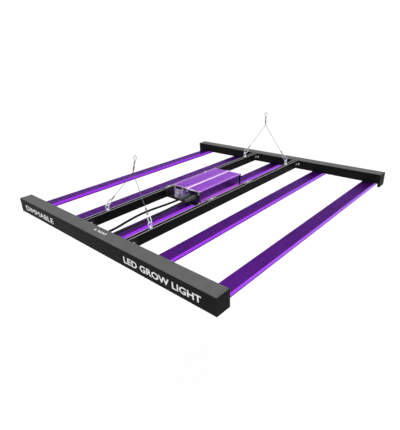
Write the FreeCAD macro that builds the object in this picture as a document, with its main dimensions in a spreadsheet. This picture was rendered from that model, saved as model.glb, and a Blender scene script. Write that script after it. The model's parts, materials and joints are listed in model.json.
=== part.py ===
"""Hanging LED grow light: five heat-sink light bars between two end beams, with a driver on two rails.

Millimetres.  X runs along the end beams, Y along the light bars from front to rear, +Z is up.
The origin is the middle of the rectangle that the light rests on, level with its underside.
"""
import FreeCAD, Part
import math
import os

import Sketcher

V = FreeCAD.Vector

# ---------------------------------------------------------------------------------------------
# Driving sizes.  Lengths in millimetres, angles in degrees, counts as whole numbers.
# ---------------------------------------------------------------------------------------------
DRIVING = {
    # whole light
    "overall_x": 890.0,            # along the end beams, over the end caps
    "overall_y": 970.0,            # over the outer faces of both end beams
    # end beams: an inverted channel whose inner wall stops short, so that the bars pass below it
    "beam_tall": 47.5,
    "beam_deep": 43.5,
    "beam_wall": 2.0,
    "beam_inner_tall": 34.5,       # height of the inner wall, from the top
    "beam_ledge": 18.0,            # inward return of the inner wall, to which the bars are screwed
    "beam_foot": 9.0,              # inward return of the outer wall, on which the light rests
    "beam_round": 2.2,             # radius along both top edges
    "cap_long": 8.0,
    "cap_tongue": 6.0,
    "cap_gap": 0.2,                # between the cap's tongue and the inside of the beam
    # light bars
    "bar_pitch": 202.4,
    "bar_wide": 44.0,
    "bar_wall": 2.0,
    "bar_end_gap": 11.0,           # from a bar's end to the outer wall of the beam
    "bar_step_tall": 1.8,          # small set-back along the bottom of each side
    "bar_step_deep": 0.7,
    "rib_tall": 4.0,
    "rib_thick": 1.3,
    "rib_grooves": 10.0,
    "slab_thick": 2.2,
    "board_thick": 1.6,
    "board_gap": 1.0,              # each side of the board
    "board_setback": 4.0,          # from the beam's inner face to the end of board and lens
    "lens_low": 2.2,               # underside of the lens above the underside of the bar
    "lens_thick": 1.5,
    "lens_slot": 0.8,              # depth of the slots that hold the lens edges
    "lens_gap": 0.1,
    "bar_screw_x": 12.0,           # each side of the bar's centre line
    "bar_screw_r": 1.95,
    "bar_screw_head_r": 3.7,
    "bar_screw_head": 2.4,
    "screw_gap": 0.05,             # between any screw and its hole
    # rails: slotted strut whose upper chamber takes the slot nuts
    "rail_wide": 16.0,
    "rail_tall": 30.5,
    "rail_wall": 1.8,
    "rail_lip": 3.2,               # width of each lip beside the slot
    "rail_lip_thick": 2.2,
    "rail_chamber": 9.3,           # height of the chamber under the lips
    "nut_gap": 0.3,                # each side of a slot nut in the chamber
    "nut_long": 14.0,
    "nut_thick": 4.0,
    # brackets between rails and beams
    "corner_thick": 2.0,
    "corner_tall": 22.0,
    "corner_leg_x": 15.0,
    "corner_leg_y": 24.0,
    "corner_low": 5.0,             # above the underside of the rail
    "corner_screw_r": 2.45,
    "corner_screw_head_r": 4.2,
    "corner_screw_head": 2.6,
    "corner_screw_reach": 6.0,
    # driver
    "driver_wide": 125.0,
    "driver_long": 223.0,
    "driver_low": 20.0,
    "driver_tall": 49.0,
    "driver_wall": 3.5,
    "driver_side_in": 2.2,         # how far the side panels lie inside the top edges
    "driver_skirt_tall": 17.0,
    "driver_skirt_lip": 8.0,
    "driver_skirt_out": 1.2,       # how far the skirt stands out past the top edges
    "driver_band_half": 8.0,       # raised band along the middle of the top
    "driver_band_tall": 2.5,
    "driver_groove_wide": 1.4,
    "driver_groove_deep": 0.9,
    "driver_groove_pitch": 4.3,
    "driver_groove_first": 13.0,
    "driver_grooves": 9.0,
    "driver_eave": 1.2,            # how far the top reaches past the end plates
    "plate_thick": 3.0,
    "plate_side_gap": 1.0,
    "plate_screw_in": 6.5,         # from the housing's edges to the corner screws
    "plate_screw_r": 1.95,
    "plate_screw_head_r": 3.5,
    "plate_screw_head": 2.2,
    "plate_screw_reach": 8.0,
    "vent_tall": 3.6,
    "vent_down": 2.0,              # from the plate's top edge
    "strap_thick": 2.0,
    "strap_wide": 42.0,
    "strap_place_y": 99.0,
    "strap_foot": 17.0,            # length of the foot that lies on the rail
    "strap_gap": 0.2,              # between strap and rail, and under the driver
    "strap_screw_x": 50.0,
    # dimmer
    "knob_x": -37.0,
    "knob_z": 38.5,
    "knob_r": 10.5,
    "knob_long": 13.0,
    "knob_gap": 0.6,
    "knob_flutes": 18.0,
    "knob_bore_deep": 9.0,
    "shaft_r": 3.0,
    "running_gap": 0.05,
    # leads and glands
    "lead_r": 3.5,
    "lead_gap": 0.05,
    "gland_left_x": 13.0,
    "gland_right_x": 38.0,
    "gland_z": 46.0,
    "gland_thread_r": 6.0,
    "gland_nut_r": 9.2,
    "gland_nut_thick": 6.0,
    "gland_long": 48.0,
    "gland_tip_r": 4.8,
    "core_bore_r": 1.6,            # bore behind the sheath's end, for the cores alone
    "mains_x": -30.0,
    "mains_z": 44.0,
    "mains_bore_r": 3.6,
    "grommet_left_x": 9.0,
    "grommet_right_x": 33.0,
    "grommet_z": 38.5,
    "grommet_r": 6.6,
    # hanging hardware
    "eye_from_beam": 81.5,         # from each end beam's inner face to its eyebolts
    "eye_up": 13.0,                # centre of each eye above the rail
    "eye_ring_r": 6.5,
    "eye_wire_r": 1.75,
    "eye_collar_lap": 1.8,         # how far the collar reaches over each lip of the rail
    "eye_collar": 4.0,
    "eye_shank_r": 2.45,
    "hook_wire_r": 1.5,
    "hook_end_r": 5.5,
    "hook_straight": 18.0,
    "gate_gap": 0.35,
    "hook_gap": 0.3,               # between a hook and the ring of its eyebolt
    "front_rise": 138.0,           # eyes to apex crimp, along the bridle
    "rear_rise": 149.0,
    "front_lean": 18.0,
    "rope_r": 0.8,
    "loop_r": 5.5,
    "loop_tall": 36.0,             # from the apex crimp's middle to the top of the hanging loop
    # wiring inside the front beam
    "strip_tall": 18.0,
    "strip_low": 23.0,
    "strip_setback": 20.0,
    "plug_long": 12.0,
}


class Size:
    """A length from the sheet, or worked out from such lengths, with the formula that gives it."""

    def __init__(self, formula, number):
        self.formula = formula
        self.number = float(number)

    def __float__(self):
        return self.number

    def __add__(self, other):
        return Size(f"({formula_of(self)} + {formula_of(other)})", self.number + float(other))

    def __radd__(self, other):
        return Size(f"({formula_of(other)} + {formula_of(self)})", float(other) + self.number)

    def __sub__(self, other):
        return Size(f"({formula_of(self)} - {formula_of(other)})", self.number - float(other))

    def __rsub__(self, other):
        return Size(f"({formula_of(other)} - {formula_of(self)})", float(other) - self.number)

    def __mul__(self, other):
        return Size(f"({formula_of(self)} * {formula_of(other)})", self.number * float(other))

    def __rmul__(self, other):
        return Size(f"({formula_of(other)} * {formula_of(self)})", float(other) * self.number)

    def __truediv__(self, other):
        return Size(f"({formula_of(self)} / {formula_of(other)})", self.number / float(other))

    def __neg__(self):
        return Size(f"(0 - {self.formula})", -self.number)


def formula_of(value):
    return value.formula if isinstance(value, Size) else repr(float(value))


class Sizes:
    """Holds each driving size as an attribute, such as d.bar_wide."""


doc = FreeCAD.newDocument("GrowLight")
sheet = doc.addObject("Spreadsheet::Sheet", "Sizes")
d = Sizes()
for row, (alias, number) in enumerate(DRIVING.items(), start=1):
    sheet.set(f"A{row}", alias)
    sheet.set(f"B{row}", str(number))
    sheet.setAlias(f"B{row}", alias)
    setattr(d, alias, Size(f"Sizes.{alias}", number))
doc.recompute()

parts = []         # every sub-part, in the order in which it is made
cutting = []       # (cutting feature, feature before it), whose volumes are compared at the end


# ---------------------------------------------------------------------------------------------
# Helpers
# ---------------------------------------------------------------------------------------------
def bind(thing, prop, value):
    """Gives a property a number, or ties it to the sheet if the value comes from there."""
    if isinstance(value, Size):
        thing.setExpression(prop, value.formula)
    else:
        setattr(thing, prop, value)


def place(thing, at, turn=None):
    """Puts an object at a point, turned about an axis; each coordinate may be a Size."""
    rotation = FreeCAD.Rotation(*turn) if turn else FreeCAD.Rotation()
    thing.Placement = FreeCAD.Placement(V(*[float(c) for c in at]), rotation)
    for axis, value in zip("xyz", at):
        if isinstance(value, Size):
            thing.setExpression(f"Placement.Base.{axis}", value.formula)


def new_body(label, at=(0, 0, 0), turn=None, keep=True):
    body = doc.addObject("PartDesign::Body", label)
    body.Label = label
    place(body, at, turn)
    if keep:
        parts.append(body)
    return body


def new_sketch(body, role):
    """A sketch on one of the body's own planes: XY_Plane, XZ_Plane or YZ_Plane."""
    sketch = body.newObject("Sketcher::SketchObject", f"{body.Name}_sketch")
    plane = next(f for f in body.Origin.OriginFeatures if f.Role == role)
    sketch.AttachmentSupport = [(plane, "")]
    sketch.MapMode = "FlatFace"
    return sketch


def fix_coordinate(sketch, kind, geometry, vertex, value):
    """Ties one coordinate of a sketch point to its distance from the sketch's origin."""
    if abs(float(value)) < 1e-9:
        axis = -2 if kind == "DistanceX" else -1
        sketch.addConstraint(Sketcher.Constraint("PointOnObject", geometry, vertex, axis))
        return
    index = sketch.addConstraint(Sketcher.Constraint(kind, -1, 1, geometry, vertex, float(value)))
    if isinstance(value, Size):
        sketch.setExpression(f"Constraints[{index}]", value.formula)


def draw_outline(sketch, corners):
    """A closed outline of straight lines, each corner held by its two coordinates."""
    first = sketch.GeometryCount
    count = len(corners)
    for i in range(count):
        start = V(float(corners[i][0]), float(corners[i][1]), 0)
        after = corners[(i + 1) % count]
        sketch.addGeometry(Part.LineSegment(start, V(float(after[0]), float(after[1]), 0)))
    for i in range(count):
        joined = first + (i + 1) % count
        sketch.addConstraint(Sketcher.Constraint("Coincident", first + i, 2, joined, 1))
    for i in range(count):
        fix_coordinate(sketch, "DistanceX", first + i, 1, corners[i][0])
        fix_coordinate(sketch, "DistanceY", first + i, 1, corners[i][1])


def draw_circle(sketch, x, y, radius):
    centre = V(float(x), float(y), 0)
    index = sketch.addGeometry(Part.Circle(centre, V(0, 0, 1), float(radius)))
    held = sketch.addConstraint(Sketcher.Constraint("Radius", index, float(radius)))
    if isinstance(radius, Size):
        sketch.setExpression(f"Constraints[{held}]", radius.formula)
    fix_coordinate(sketch, "DistanceX", index, 3, x)
    fix_coordinate(sketch, "DistanceY", index, 3, y)


def rectangle(x_low, x_high, y_low, y_high):
    return [(x_low, y_low), (x_high, y_low), (x_high, y_high), (x_low, y_high)]


def pad(body, sketch, length, reverse=False):
    feature = body.newObject("PartDesign::Pad", f"{body.Name}_pad")
    feature.Profile = sketch
    bind(feature, "Length", length)
    feature.Reversed = reverse
    return feature


def pocket_through(body, sketch):
    """Cuts a sketch right through the body, both ways from its plane."""
    before = body.Tip
    feature = body.newObject("PartDesign::Pocket", f"{body.Name}_pocket")
    feature.Profile = sketch
    feature.Type = "ThroughAll"
    feature.Midplane = True
    cutting.append((feature, before))
    return feature


def pattern_line(body, sketch, cut, length, count):
    """Repeats a cut along the sketch's horizontal axis."""
    feature = body.newObject("PartDesign::LinearPattern", f"{body.Name}_row")
    feature.Originals = [cut]
    feature.Direction = (sketch, ["H_Axis"])
    bind(feature, "Length", length)
    bind(feature, "Occurrences", count)
    body.Tip = feature
    return feature


def revolve(body, sketch):
    feature = body.newObject("PartDesign::Revolution", f"{body.Name}_turned")
    feature.Profile = sketch
    feature.ReferenceAxis = (sketch, ["V_Axis"])
    feature.Angle = 360
    return feature


def round_edges(body, test, radius):
    """Rounds the edges of the body so far for which the test is true."""
    doc.recompute()
    base = body.Tip
    names = [f"Edge{i}" for i, edge in enumerate(base.Shape.Edges, start=1) if test(edge)]
    feature = body.newObject("PartDesign::Fillet", f"{body.Name}_round")
    feature.Base = (base, names)
    bind(feature, "Radius", radius)
    return feature


def turned_body(label, half_profile, at=(0, 0, 0), turn=None, keep=True):
    """A body turned about its own Z axis from a profile of (radius, height) corners."""
    body = new_body(label, at, turn, keep)
    sketch = new_sketch(body, "XZ_Plane")
    draw_outline(sketch, half_profile)
    revolve(body, sketch)
    return body


def block(label, low, size):
    """A Part box with its lowest corner at low."""
    thing = doc.addObject("Part::Box", label)
    thing.Label = label
    for prop, value in zip(("Length", "Width", "Height"), size):
        bind(thing, prop, value)
    place(thing, low)
    parts.append(thing)
    return thing


def shape_part(label, shape, placement=None):
    """A sub-part whose shape is made with Part's own functions."""
    thing = doc.addObject("Part::Feature", label)
    thing.Label = label
    thing.Shape = shape
    if placement is not None:
        thing.Placement = placement
    parts.append(thing)
    return thing


def copies(master, placements):
    """One compound of a finished body's solid, once for each placement."""
    doc.recompute()
    solid = master.Shape.Solids[0]
    return Part.makeCompound([moved(solid, placement) for placement in placements])


def moved(shape, placement):
    result = shape.copy()
    result.Placement = placement.multiply(shape.Placement)
    return result


def spot(x, y, z, axis=(0, 0, 1), degrees=0):
    """A placement from a point and a turn."""
    return FreeCAD.Placement(V(float(x), float(y), float(z)), FreeCAD.Rotation(V(*axis), degrees))


def runs_along(edge, axis):
    """True for a straight edge along the given axis."""
    if edge.Curve.TypeId != "Part::GeomLine":
        return False
    return abs(edge.tangentAt(edge.FirstParameter).dot(axis)) > 0.999


def sweep(edges, radius):
    """A round bar of the given radius along a chain of tangent edges."""
    path = Part.Wire(edges)
    start = edges[0].valueAt(edges[0].FirstParameter)
    tangent = edges[0].tangentAt(edges[0].FirstParameter)
    ring = Part.Wire([Part.makeCircle(radius, start, tangent)])
    return path.makePipeShell([ring], True, False)


def tube(label, points, radius):
    """A round tube along straight runs joined by the largest tangent arcs that the runs allow."""
    corners = [V(*[float(c) for c in p]) for p in points]
    edges = []
    radii = []
    length = 0.0
    last = corners[0]
    for before, corner, after in zip(corners, corners[1:], corners[2:]):
        inward = (before - corner).normalize()
        outward = (after - corner).normalize()
        half_turn = (math.pi - inward.getAngle(outward)) / 2
        reach = 0.45 * min((before - corner).Length, (after - corner).Length)
        arc_radius = reach / math.tan(half_turn)
        radii.append(arc_radius)
        start = corner + inward * reach
        end = corner + outward * reach
        bisector = (inward + outward).normalize()
        middle = corner + bisector * (arc_radius / math.cos(half_turn) - arc_radius)
        edges.append(Part.LineSegment(last, start).toShape())
        edges.append(Part.Arc(start, middle, end).toShape())
        length += (start - last).Length + arc_radius * 2 * half_turn
        last = end
    edges.append(Part.LineSegment(last, corners[-1]).toShape())
    length += (corners[-1] - last).Length
    solid = sweep(edges, radius)
    share = solid.Volume / (math.pi * radius ** 2 * length)
    print(f"{label}: length {length:.1f}, arc radii", [round(r, 1) for r in radii],
          f"volume over section x length {share:.4f}")
    return solid


# ---------------------------------------------------------------------------------------------
# Places that several sub-parts share
# ---------------------------------------------------------------------------------------------
half_x = d.overall_x / 2
half_y = d.overall_y / 2
inner_face = half_y - d.beam_deep                  # inner face of each end beam, from the middle
bar_tall = d.beam_tall - d.beam_inner_tall         # the bars fit under the inner walls
ledge_top = bar_tall + d.beam_wall
bar_half_long = half_y - d.beam_wall - d.bar_end_gap
bar_centres = [d.bar_pitch * (i - 2) for i in range(5)]
bar_screw_y = inner_face + d.beam_ledge / 2
rail_x = d.bar_pitch / 2                           # each rail runs midway between two bars
eye_place_y = inner_face - d.eye_from_beam
eye_collar_r = d.rail_wide / 2 - d.rail_lip + d.eye_collar_lap
rail_low = d.beam_tall - d.rail_tall
rail_inner_x = rail_x - d.rail_wide / 2
lip_under = d.beam_tall - d.rail_lip_thick
driver_top = d.driver_low + d.driver_tall
plate_outer_y = d.driver_long / 2
plate_inner_y = plate_outer_y - d.plate_thick
plate_half = d.driver_wide / 2 - d.plate_side_gap
plate_low = d.driver_low + d.plate_side_gap
plate_high = driver_top - d.driver_wall
plate_screw_x = d.driver_wide / 2 - d.plate_screw_in
plate_screw_low = d.driver_low + d.plate_screw_in
plate_screw_high = plate_high - d.plate_screw_in
strap_low = d.driver_low - d.strap_gap - d.strap_thick
strip_outer_y = half_y - d.beam_wall
eye_z = d.beam_tall + d.eye_up
corner_screw_z = rail_low + d.corner_low + d.corner_tall / 2
corner_beam_screw_x = rail_x + d.rail_wide / 2 + d.corner_leg_x / 2
corner_beam_screw_left = d.rail_wide / 2 + d.corner_leg_x / 2 - rail_x
corner_rail_screw_y = inner_face - d.corner_leg_y / 2
SIDES = (("left", -1), ("right", 1))
ENDS = (("front", -1), ("rear", 1))


# ---------------------------------------------------------------------------------------------
# End beams and their caps
# ---------------------------------------------------------------------------------------------
def beam_outline():
    """Section of an end beam: 0 is the outer face, growing towards the middle of the light."""
    wall = d.beam_wall
    top = d.beam_tall
    deep = d.beam_deep
    ledge_from = deep - d.beam_ledge
    return [
        (0, 0), (d.beam_foot, 0), (d.beam_foot, wall), (wall, wall),
        (wall, top - wall), (deep - wall, top - wall), (deep - wall, ledge_top),
        (ledge_from, ledge_top), (ledge_from, bar_tall), (deep, bar_tall),
        (deep, top), (0, top),
    ]


def at_beam_top(edge):
    return runs_along(edge, V(1, 0, 0)) and edge.CenterOfMass.z > float(d.beam_tall) - 0.01


def make_beam(name, side):
    """side is -1 for the front beam and 1 for the rear one, which is the same piece turned round."""
    turn = (V(0, 0, 1), 0 if side < 0 else 180)
    half_long = half_x - d.cap_long
    body = new_body(f"{name}_beam", (half_long * side, half_y * side, 0), turn)
    sketch = new_sketch(body, "YZ_Plane")
    draw_outline(sketch, beam_outline())
    pad(body, sketch, half_long * 2)
    round_edges(body, at_beam_top, d.beam_round)
    holes = new_sketch(body, "XY_Plane")
    for centre in bar_centres:
        for offset in (-d.bar_screw_x, d.bar_screw_x):
            across = half_long + centre + offset
            draw_circle(holes, across, d.beam_deep - d.beam_ledge / 2, d.bar_screw_r + d.screw_gap)
    # these holes go through the ledge only, so that the beam's top stays whole
    before = body.Tip
    cut = body.newObject("PartDesign::Pocket", f"{name}_beam_screw_holes")
    cut.Profile = holes
    cut.Reversed = True
    bind(cut, "Length", ledge_top + 1)
    cutting.append((cut, before))
    # and these go through the inner wall only, from a plane halfway across the channel
    sideways = new_sketch(body, "XZ_Plane")
    sideways.AttachmentOffset = spot(0, 0, -float(d.beam_deep) / 2)
    sideways.setExpression("AttachmentOffset.Base.z", (-d.beam_deep / 2).formula)
    for place_x in (corner_beam_screw_x, corner_beam_screw_left):
        across = half_long - place_x * side
        draw_circle(sideways, across, corner_screw_z, d.corner_screw_r + d.screw_gap)
    if side < 0:
        for grommet_x in (d.grommet_left_x, d.grommet_right_x):
            draw_circle(sideways, half_long + grommet_x, d.grommet_z, d.grommet_r - d.beam_wall)
    before = body.Tip
    cut = body.newObject("PartDesign::Pocket", f"{name}_beam_wall_holes")
    cut.Profile = sideways
    bind(cut, "Length", d.beam_deep)
    cutting.append((cut, before))


def make_cap(name, end_side, cap_side):
    """A moulded cap over one end of a beam, held by a tongue inside the channel."""
    turn = (V(0, 0, 1), 0 if end_side < 0 else 180)
    at_x = (half_x if cap_side * end_side > 0 else half_x - d.cap_long) * cap_side
    body = new_body(f"{name}_cap", (at_x, half_y * end_side, 0), turn)
    sketch = new_sketch(body, "YZ_Plane")
    draw_outline(sketch, rectangle(0, d.beam_deep, 0, d.beam_tall))
    pad(body, sketch, d.cap_long)
    round_edges(body, at_beam_top, d.beam_round)
    tongue = new_sketch(body, "YZ_Plane")
    gap = d.beam_wall + d.cap_gap
    draw_outline(tongue, rectangle(gap, d.beam_deep - gap, ledge_top + d.cap_gap, d.beam_tall - gap))
    # the cap's own pad runs either towards the beam or away from it, and the tongue follows
    if cap_side * end_side > 0:
        pad(body, tongue, d.cap_long + d.cap_tongue)
    else:
        pad(body, tongue, d.cap_tongue, reverse=True)


for end, side in ENDS:
    make_beam(end, side)
    for hand, cap_side in SIDES:
        make_cap(f"{end}_{hand}", side, cap_side)


# ---------------------------------------------------------------------------------------------
# Light bars: ribbed heat sink, LED board and lens
# ---------------------------------------------------------------------------------------------
slot_low = d.lens_low - d.lens_gap
slot_high = d.lens_low + d.lens_thick + d.lens_gap
slab_low = bar_tall - d.rib_tall - d.slab_thick
cavity_half = d.bar_wide / 2 - d.bar_wall
groove_pitch = (d.bar_wide - d.bar_wall * 2 + d.rib_thick) / d.rib_grooves
board_low = slab_low - d.board_thick
optic_half_long = inner_face - d.board_setback


def bar_outline():
    """Section of a heat sink, open below, with slots for the lens in both side walls."""
    half = d.bar_wide / 2
    slot_half = cavity_half + d.lens_slot
    foot_half = half - d.bar_step_deep
    right = [
        (cavity_half, slab_low), (cavity_half, slot_high), (slot_half, slot_high),
        (slot_half, slot_low), (cavity_half, slot_low), (cavity_half, 0),
        (foot_half, 0), (foot_half, d.bar_step_tall), (half, d.bar_step_tall), (half, bar_tall),
    ]
    left = [(-x, z) for x, z in reversed(right)]
    return right + left


def make_bar(number, centre):
    body = new_body(f"led_bar_{number}", (centre, -bar_half_long, 0))
    sketch = new_sketch(body, "XZ_Plane")
    draw_outline(sketch, bar_outline())
    pad(body, sketch, bar_half_long * 2, reverse=True)
    groove = new_sketch(body, "XZ_Plane")
    first_left = -cavity_half
    first_right = first_left + groove_pitch - d.rib_thick
    draw_outline(groove, rectangle(first_left, first_right, bar_tall - d.rib_tall, bar_tall + 1))
    cut = pocket_through(body, groove)
    pattern_line(body, groove, cut, groove_pitch * (d.rib_grooves - 1), d.rib_grooves)
    holes = new_sketch(body, "XY_Plane")
    for along in (bar_half_long - bar_screw_y, bar_half_long + bar_screw_y):
        for across in (-d.bar_screw_x, d.bar_screw_x):
            draw_circle(holes, across, along, d.bar_screw_r + d.screw_gap)
    pocket_through(body, holes)


def make_board(number, centre):
    half = cavity_half - d.board_gap
    low = (centre - half, -optic_half_long, board_low)
    block(f"led_board_{number}", low, (half * 2, optic_half_long * 2, d.board_thick))


def make_lens(number, centre):
    half = cavity_half + d.lens_slot - d.lens_gap
    low = (centre - half, -optic_half_long, d.lens_low)
    block(f"lens_{number}", low, (half * 2, optic_half_long * 2, d.lens_thick))


for number, centre in enumerate(bar_centres, start=1):
    make_bar(number, centre)
    make_board(number, centre)
    make_lens(number, centre)

bar_screw = turned_body(
    "bar_screw_pattern",
    [(0, -d.bar_screw_head), (d.bar_screw_head_r, -d.bar_screw_head), (d.bar_screw_head_r, 0),
     (d.bar_screw_r, 0), (d.bar_screw_r, ledge_top - slab_low + 3), (0, ledge_top - slab_low + 3)],
    keep=False,
)
bar_screw_places = [
    spot(centre + across, along, slab_low)
    for centre in bar_centres
    for across in (-d.bar_screw_x, d.bar_screw_x)
    for along in (-bar_screw_y, bar_screw_y)
]
shape_part("bar_screws", copies(bar_screw, bar_screw_places))


# ---------------------------------------------------------------------------------------------
# Rails, slot nuts and the brackets that fix the rails to the beams
# ---------------------------------------------------------------------------------------------
chamber_floor = lip_under - d.rail_chamber


def rail_outline():
    """Section of a rail: a slot between two lips, open into the upper chamber."""
    half = d.rail_wide / 2
    inside = half - d.rail_wall
    slot = half - d.rail_lip
    right = [
        (slot, d.beam_tall), (slot, lip_under), (inside, lip_under), (inside, chamber_floor),
    ]
    left = [(-x, z) for x, z in reversed(right)]
    return [(half, rail_low), (half, d.beam_tall)] + right + left + [
        (-half, d.beam_tall), (-half, rail_low)]


def make_rail(hand, side):
    body = new_body(f"{hand}_rail", (rail_x * side, -inner_face, 0))
    sketch = new_sketch(body, "XZ_Plane")
    draw_outline(sketch, rail_outline())
    inside = d.rail_wide / 2 - d.rail_wall
    lower_top = chamber_floor - d.rail_wall
    draw_outline(sketch, rectangle(-inside, inside, rail_low + d.rail_wall, lower_top))
    pad(body, sketch, inner_face * 2, reverse=True)
    holes = new_sketch(body, "YZ_Plane")
    for along in (inner_face - corner_rail_screw_y, inner_face + corner_rail_screw_y):
        draw_circle(holes, along, corner_screw_z, d.corner_screw_r + d.screw_gap)
    before = body.Tip
    cut = body.newObject("PartDesign::Pocket", f"{hand}_rail_screw_holes")
    cut.Profile = holes
    cut.Reversed = True
    bind(cut, "Length", d.rail_wide)
    cutting.append((cut, before))


for hand, side in SIDES:
    make_rail(hand, side)

# one bracket: a leg on the rail's side and a leg on the beam's inner wall
corner = new_body("rail_bracket_pattern", keep=False)
corner_sketch = new_sketch(corner, "XY_Plane")
thick = d.corner_thick
draw_outline(corner_sketch, [
    (0, 0), (d.corner_leg_x, 0), (d.corner_leg_x, thick), (thick, thick),
    (thick, d.corner_leg_y), (0, d.corner_leg_y)])
pad(corner, corner_sketch, d.corner_tall)
corner_holes = new_sketch(corner, "XZ_Plane")
draw_circle(corner_holes, d.corner_leg_x / 2, d.corner_tall / 2, d.corner_screw_r + d.screw_gap)
pocket_through(corner, corner_holes)
corner_side_holes = new_sketch(corner, "YZ_Plane")
draw_circle(corner_side_holes, d.corner_leg_y / 2, d.corner_tall / 2, d.corner_screw_r + d.screw_gap)
pocket_through(corner, corner_side_holes)
doc.recompute()

corner_low_z = rail_low + d.corner_low
corner_solids = []
for hand, side in SIDES:
    corner_x = rail_x * side + d.rail_wide / 2
    front = moved(corner.Shape, spot(corner_x, -inner_face, corner_low_z))
    corner_solids.append(front)
    corner_solids.append(front.mirror(V(0, 0, 0), V(0, 1, 0)))
shape_part("rail_brackets", Part.makeCompound(corner_solids))


def pan_screw(label, radius, head_radius, head, reach):
    """A screw on its own Z axis, with its head above 0 and its shank below."""
    return turned_body(label, [
        (0, -reach), (radius, -reach), (radius, 0), (head_radius, 0),
        (head_radius, head * 0.45), (head_radius * 0.6, head), (0, head)], keep=False)


corner_screw = pan_screw("rail_bracket_screw_pattern", d.corner_screw_r, d.corner_screw_head_r,
                         d.corner_screw_head, d.corner_screw_reach)
corner_screw_places = []
for hand, side in SIDES:
    beam_x = rail_x * side + d.rail_wide / 2 + d.corner_leg_x / 2
    side_x = rail_x * side + d.rail_wide / 2 + thick
    for end, end_side in ENDS:
        face_y = (inner_face - thick) * end_side
        corner_screw_places.append(spot(beam_x, face_y, corner_screw_z, (1, 0, 0), 90 * end_side))
        corner_screw_places.append(
            spot(side_x, corner_rail_screw_y * end_side, corner_screw_z, (0, 1, 0), 90))
shape_part("rail_bracket_screws", copies(corner_screw, corner_screw_places))

# slot nuts: one under each eyebolt and one under each foot of the driver straps
nut_half = d.rail_wide / 2 - d.rail_wall - d.nut_gap
nut = new_body("slot_nut_pattern", keep=False)
nut_sketch = new_sketch(nut, "XY_Plane")
draw_outline(nut_sketch, rectangle(-nut_half, nut_half, -d.nut_long / 2, d.nut_long / 2))
draw_circle(nut_sketch, 0, 0, d.eye_shank_r + d.screw_gap)
pad(nut, nut_sketch, d.nut_thick)
nut_places = [
    spot(rail_x * side, along * end_side, lip_under - d.nut_thick)
    for _, side in SIDES
    for _, end_side in ENDS
    for along in (eye_place_y, d.strap_place_y)
]
shape_part("slot_nuts", copies(nut, nut_places))


# ---------------------------------------------------------------------------------------------
# Driver: extruded housing, end plates, straps and what is inside
# ---------------------------------------------------------------------------------------------
def mirrored(right):
    """Closes an outline whose right half is given, from its lowest or highest corner on."""
    return right + [(-x, z) for x, z in reversed(right)]


def roof_corners():
    """Right half of the top wall's outline above its underside: edge, chamfer and raised band."""
    edge = d.driver_wide / 2
    band = d.driver_band_half
    band_top = driver_top + d.driver_band_tall
    return [
        (edge, driver_top - d.driver_wall), (edge, driver_top - 1), (edge - 1, driver_top),
        (band, driver_top), (band - d.driver_band_tall, band_top),
    ]


def housing_outline():
    """Outer section of the housing: raised band on top, set-back sides, flared skirt."""
    edge = d.driver_wide / 2
    side_x = edge - d.driver_side_in
    skirt_x = edge + d.driver_skirt_out
    return mirrored([
        (skirt_x, d.driver_low), (skirt_x, d.driver_low + d.driver_skirt_lip),
        (side_x, d.driver_low + d.driver_skirt_tall), (side_x, driver_top - d.driver_wall * 1.5),
    ] + roof_corners())


def housing_cavity():
    """Inside of the housing, with a block left in each corner for the plate screws."""
    inside = d.driver_wide / 2 - d.driver_side_in - d.driver_wall
    block_x = plate_screw_x - d.plate_screw_r * 2
    low_block = plate_screw_low + d.plate_screw_r * 2
    high_block = plate_screw_high - d.plate_screw_r * 2
    return mirrored([
        (block_x, d.driver_low + d.driver_wall), (block_x, low_block), (inside, low_block),
        (inside, high_block), (block_x, high_block), (block_x, driver_top - d.driver_wall),
    ])


def make_housing():
    body = new_body("driver_housing", (0, -plate_inner_y, 0))
    sketch = new_sketch(body, "XZ_Plane")
    draw_outline(sketch, housing_outline())
    draw_outline(sketch, housing_cavity())
    for across in (-plate_screw_x, plate_screw_x):
        for up in (plate_screw_low, plate_screw_high):
            draw_circle(sketch, across, up, d.plate_screw_r + d.screw_gap)
    pad(body, sketch, plate_inner_y * 2, reverse=True)
    # the top wall reaches past the end plates at both ends
    reach = d.plate_thick + d.driver_eave
    for length, reverse in ((reach, False), (plate_inner_y * 2 + reach, True)):
        eave = new_sketch(body, "XZ_Plane")
        draw_outline(eave, mirrored(roof_corners()))
        pad(body, eave, length, reverse)
    for side in (-1, 1):
        groove = new_sketch(body, "XZ_Plane")
        first = d.driver_groove_first if side > 0 else -(
            d.driver_groove_first + d.driver_groove_pitch * (d.driver_grooves - 1))
        half = d.driver_groove_wide / 2
        low = driver_top - d.driver_groove_deep
        draw_outline(groove, rectangle(first - half, first + half, low, driver_top + 1))
        cut = pocket_through(body, groove)
        run = d.driver_groove_pitch * (d.driver_grooves - 1)
        pattern_line(body, groove, cut, run, d.driver_grooves)
    under = new_sketch(body, "XY_Plane")
    for across in (-d.strap_screw_x, d.strap_screw_x):
        for along in (plate_inner_y - d.strap_place_y, plate_inner_y + d.strap_place_y):
            draw_circle(under, across, along, d.plate_screw_r + d.screw_gap)
    before = body.Tip
    cut = body.newObject("PartDesign::Pocket", "driver_housing_strap_holes")
    cut.Profile = under
    cut.Reversed = True
    bind(cut, "Length", d.driver_low + d.driver_wall + 1)
    cutting.append((cut, before))


make_housing()

TRIM_SCREWS_X = (-17.0, 4.0)      # two small screws that hold the inner boards to the front plate
VENTS_X = ((-50.0, -22.5), (20.0, 50.0))


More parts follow.
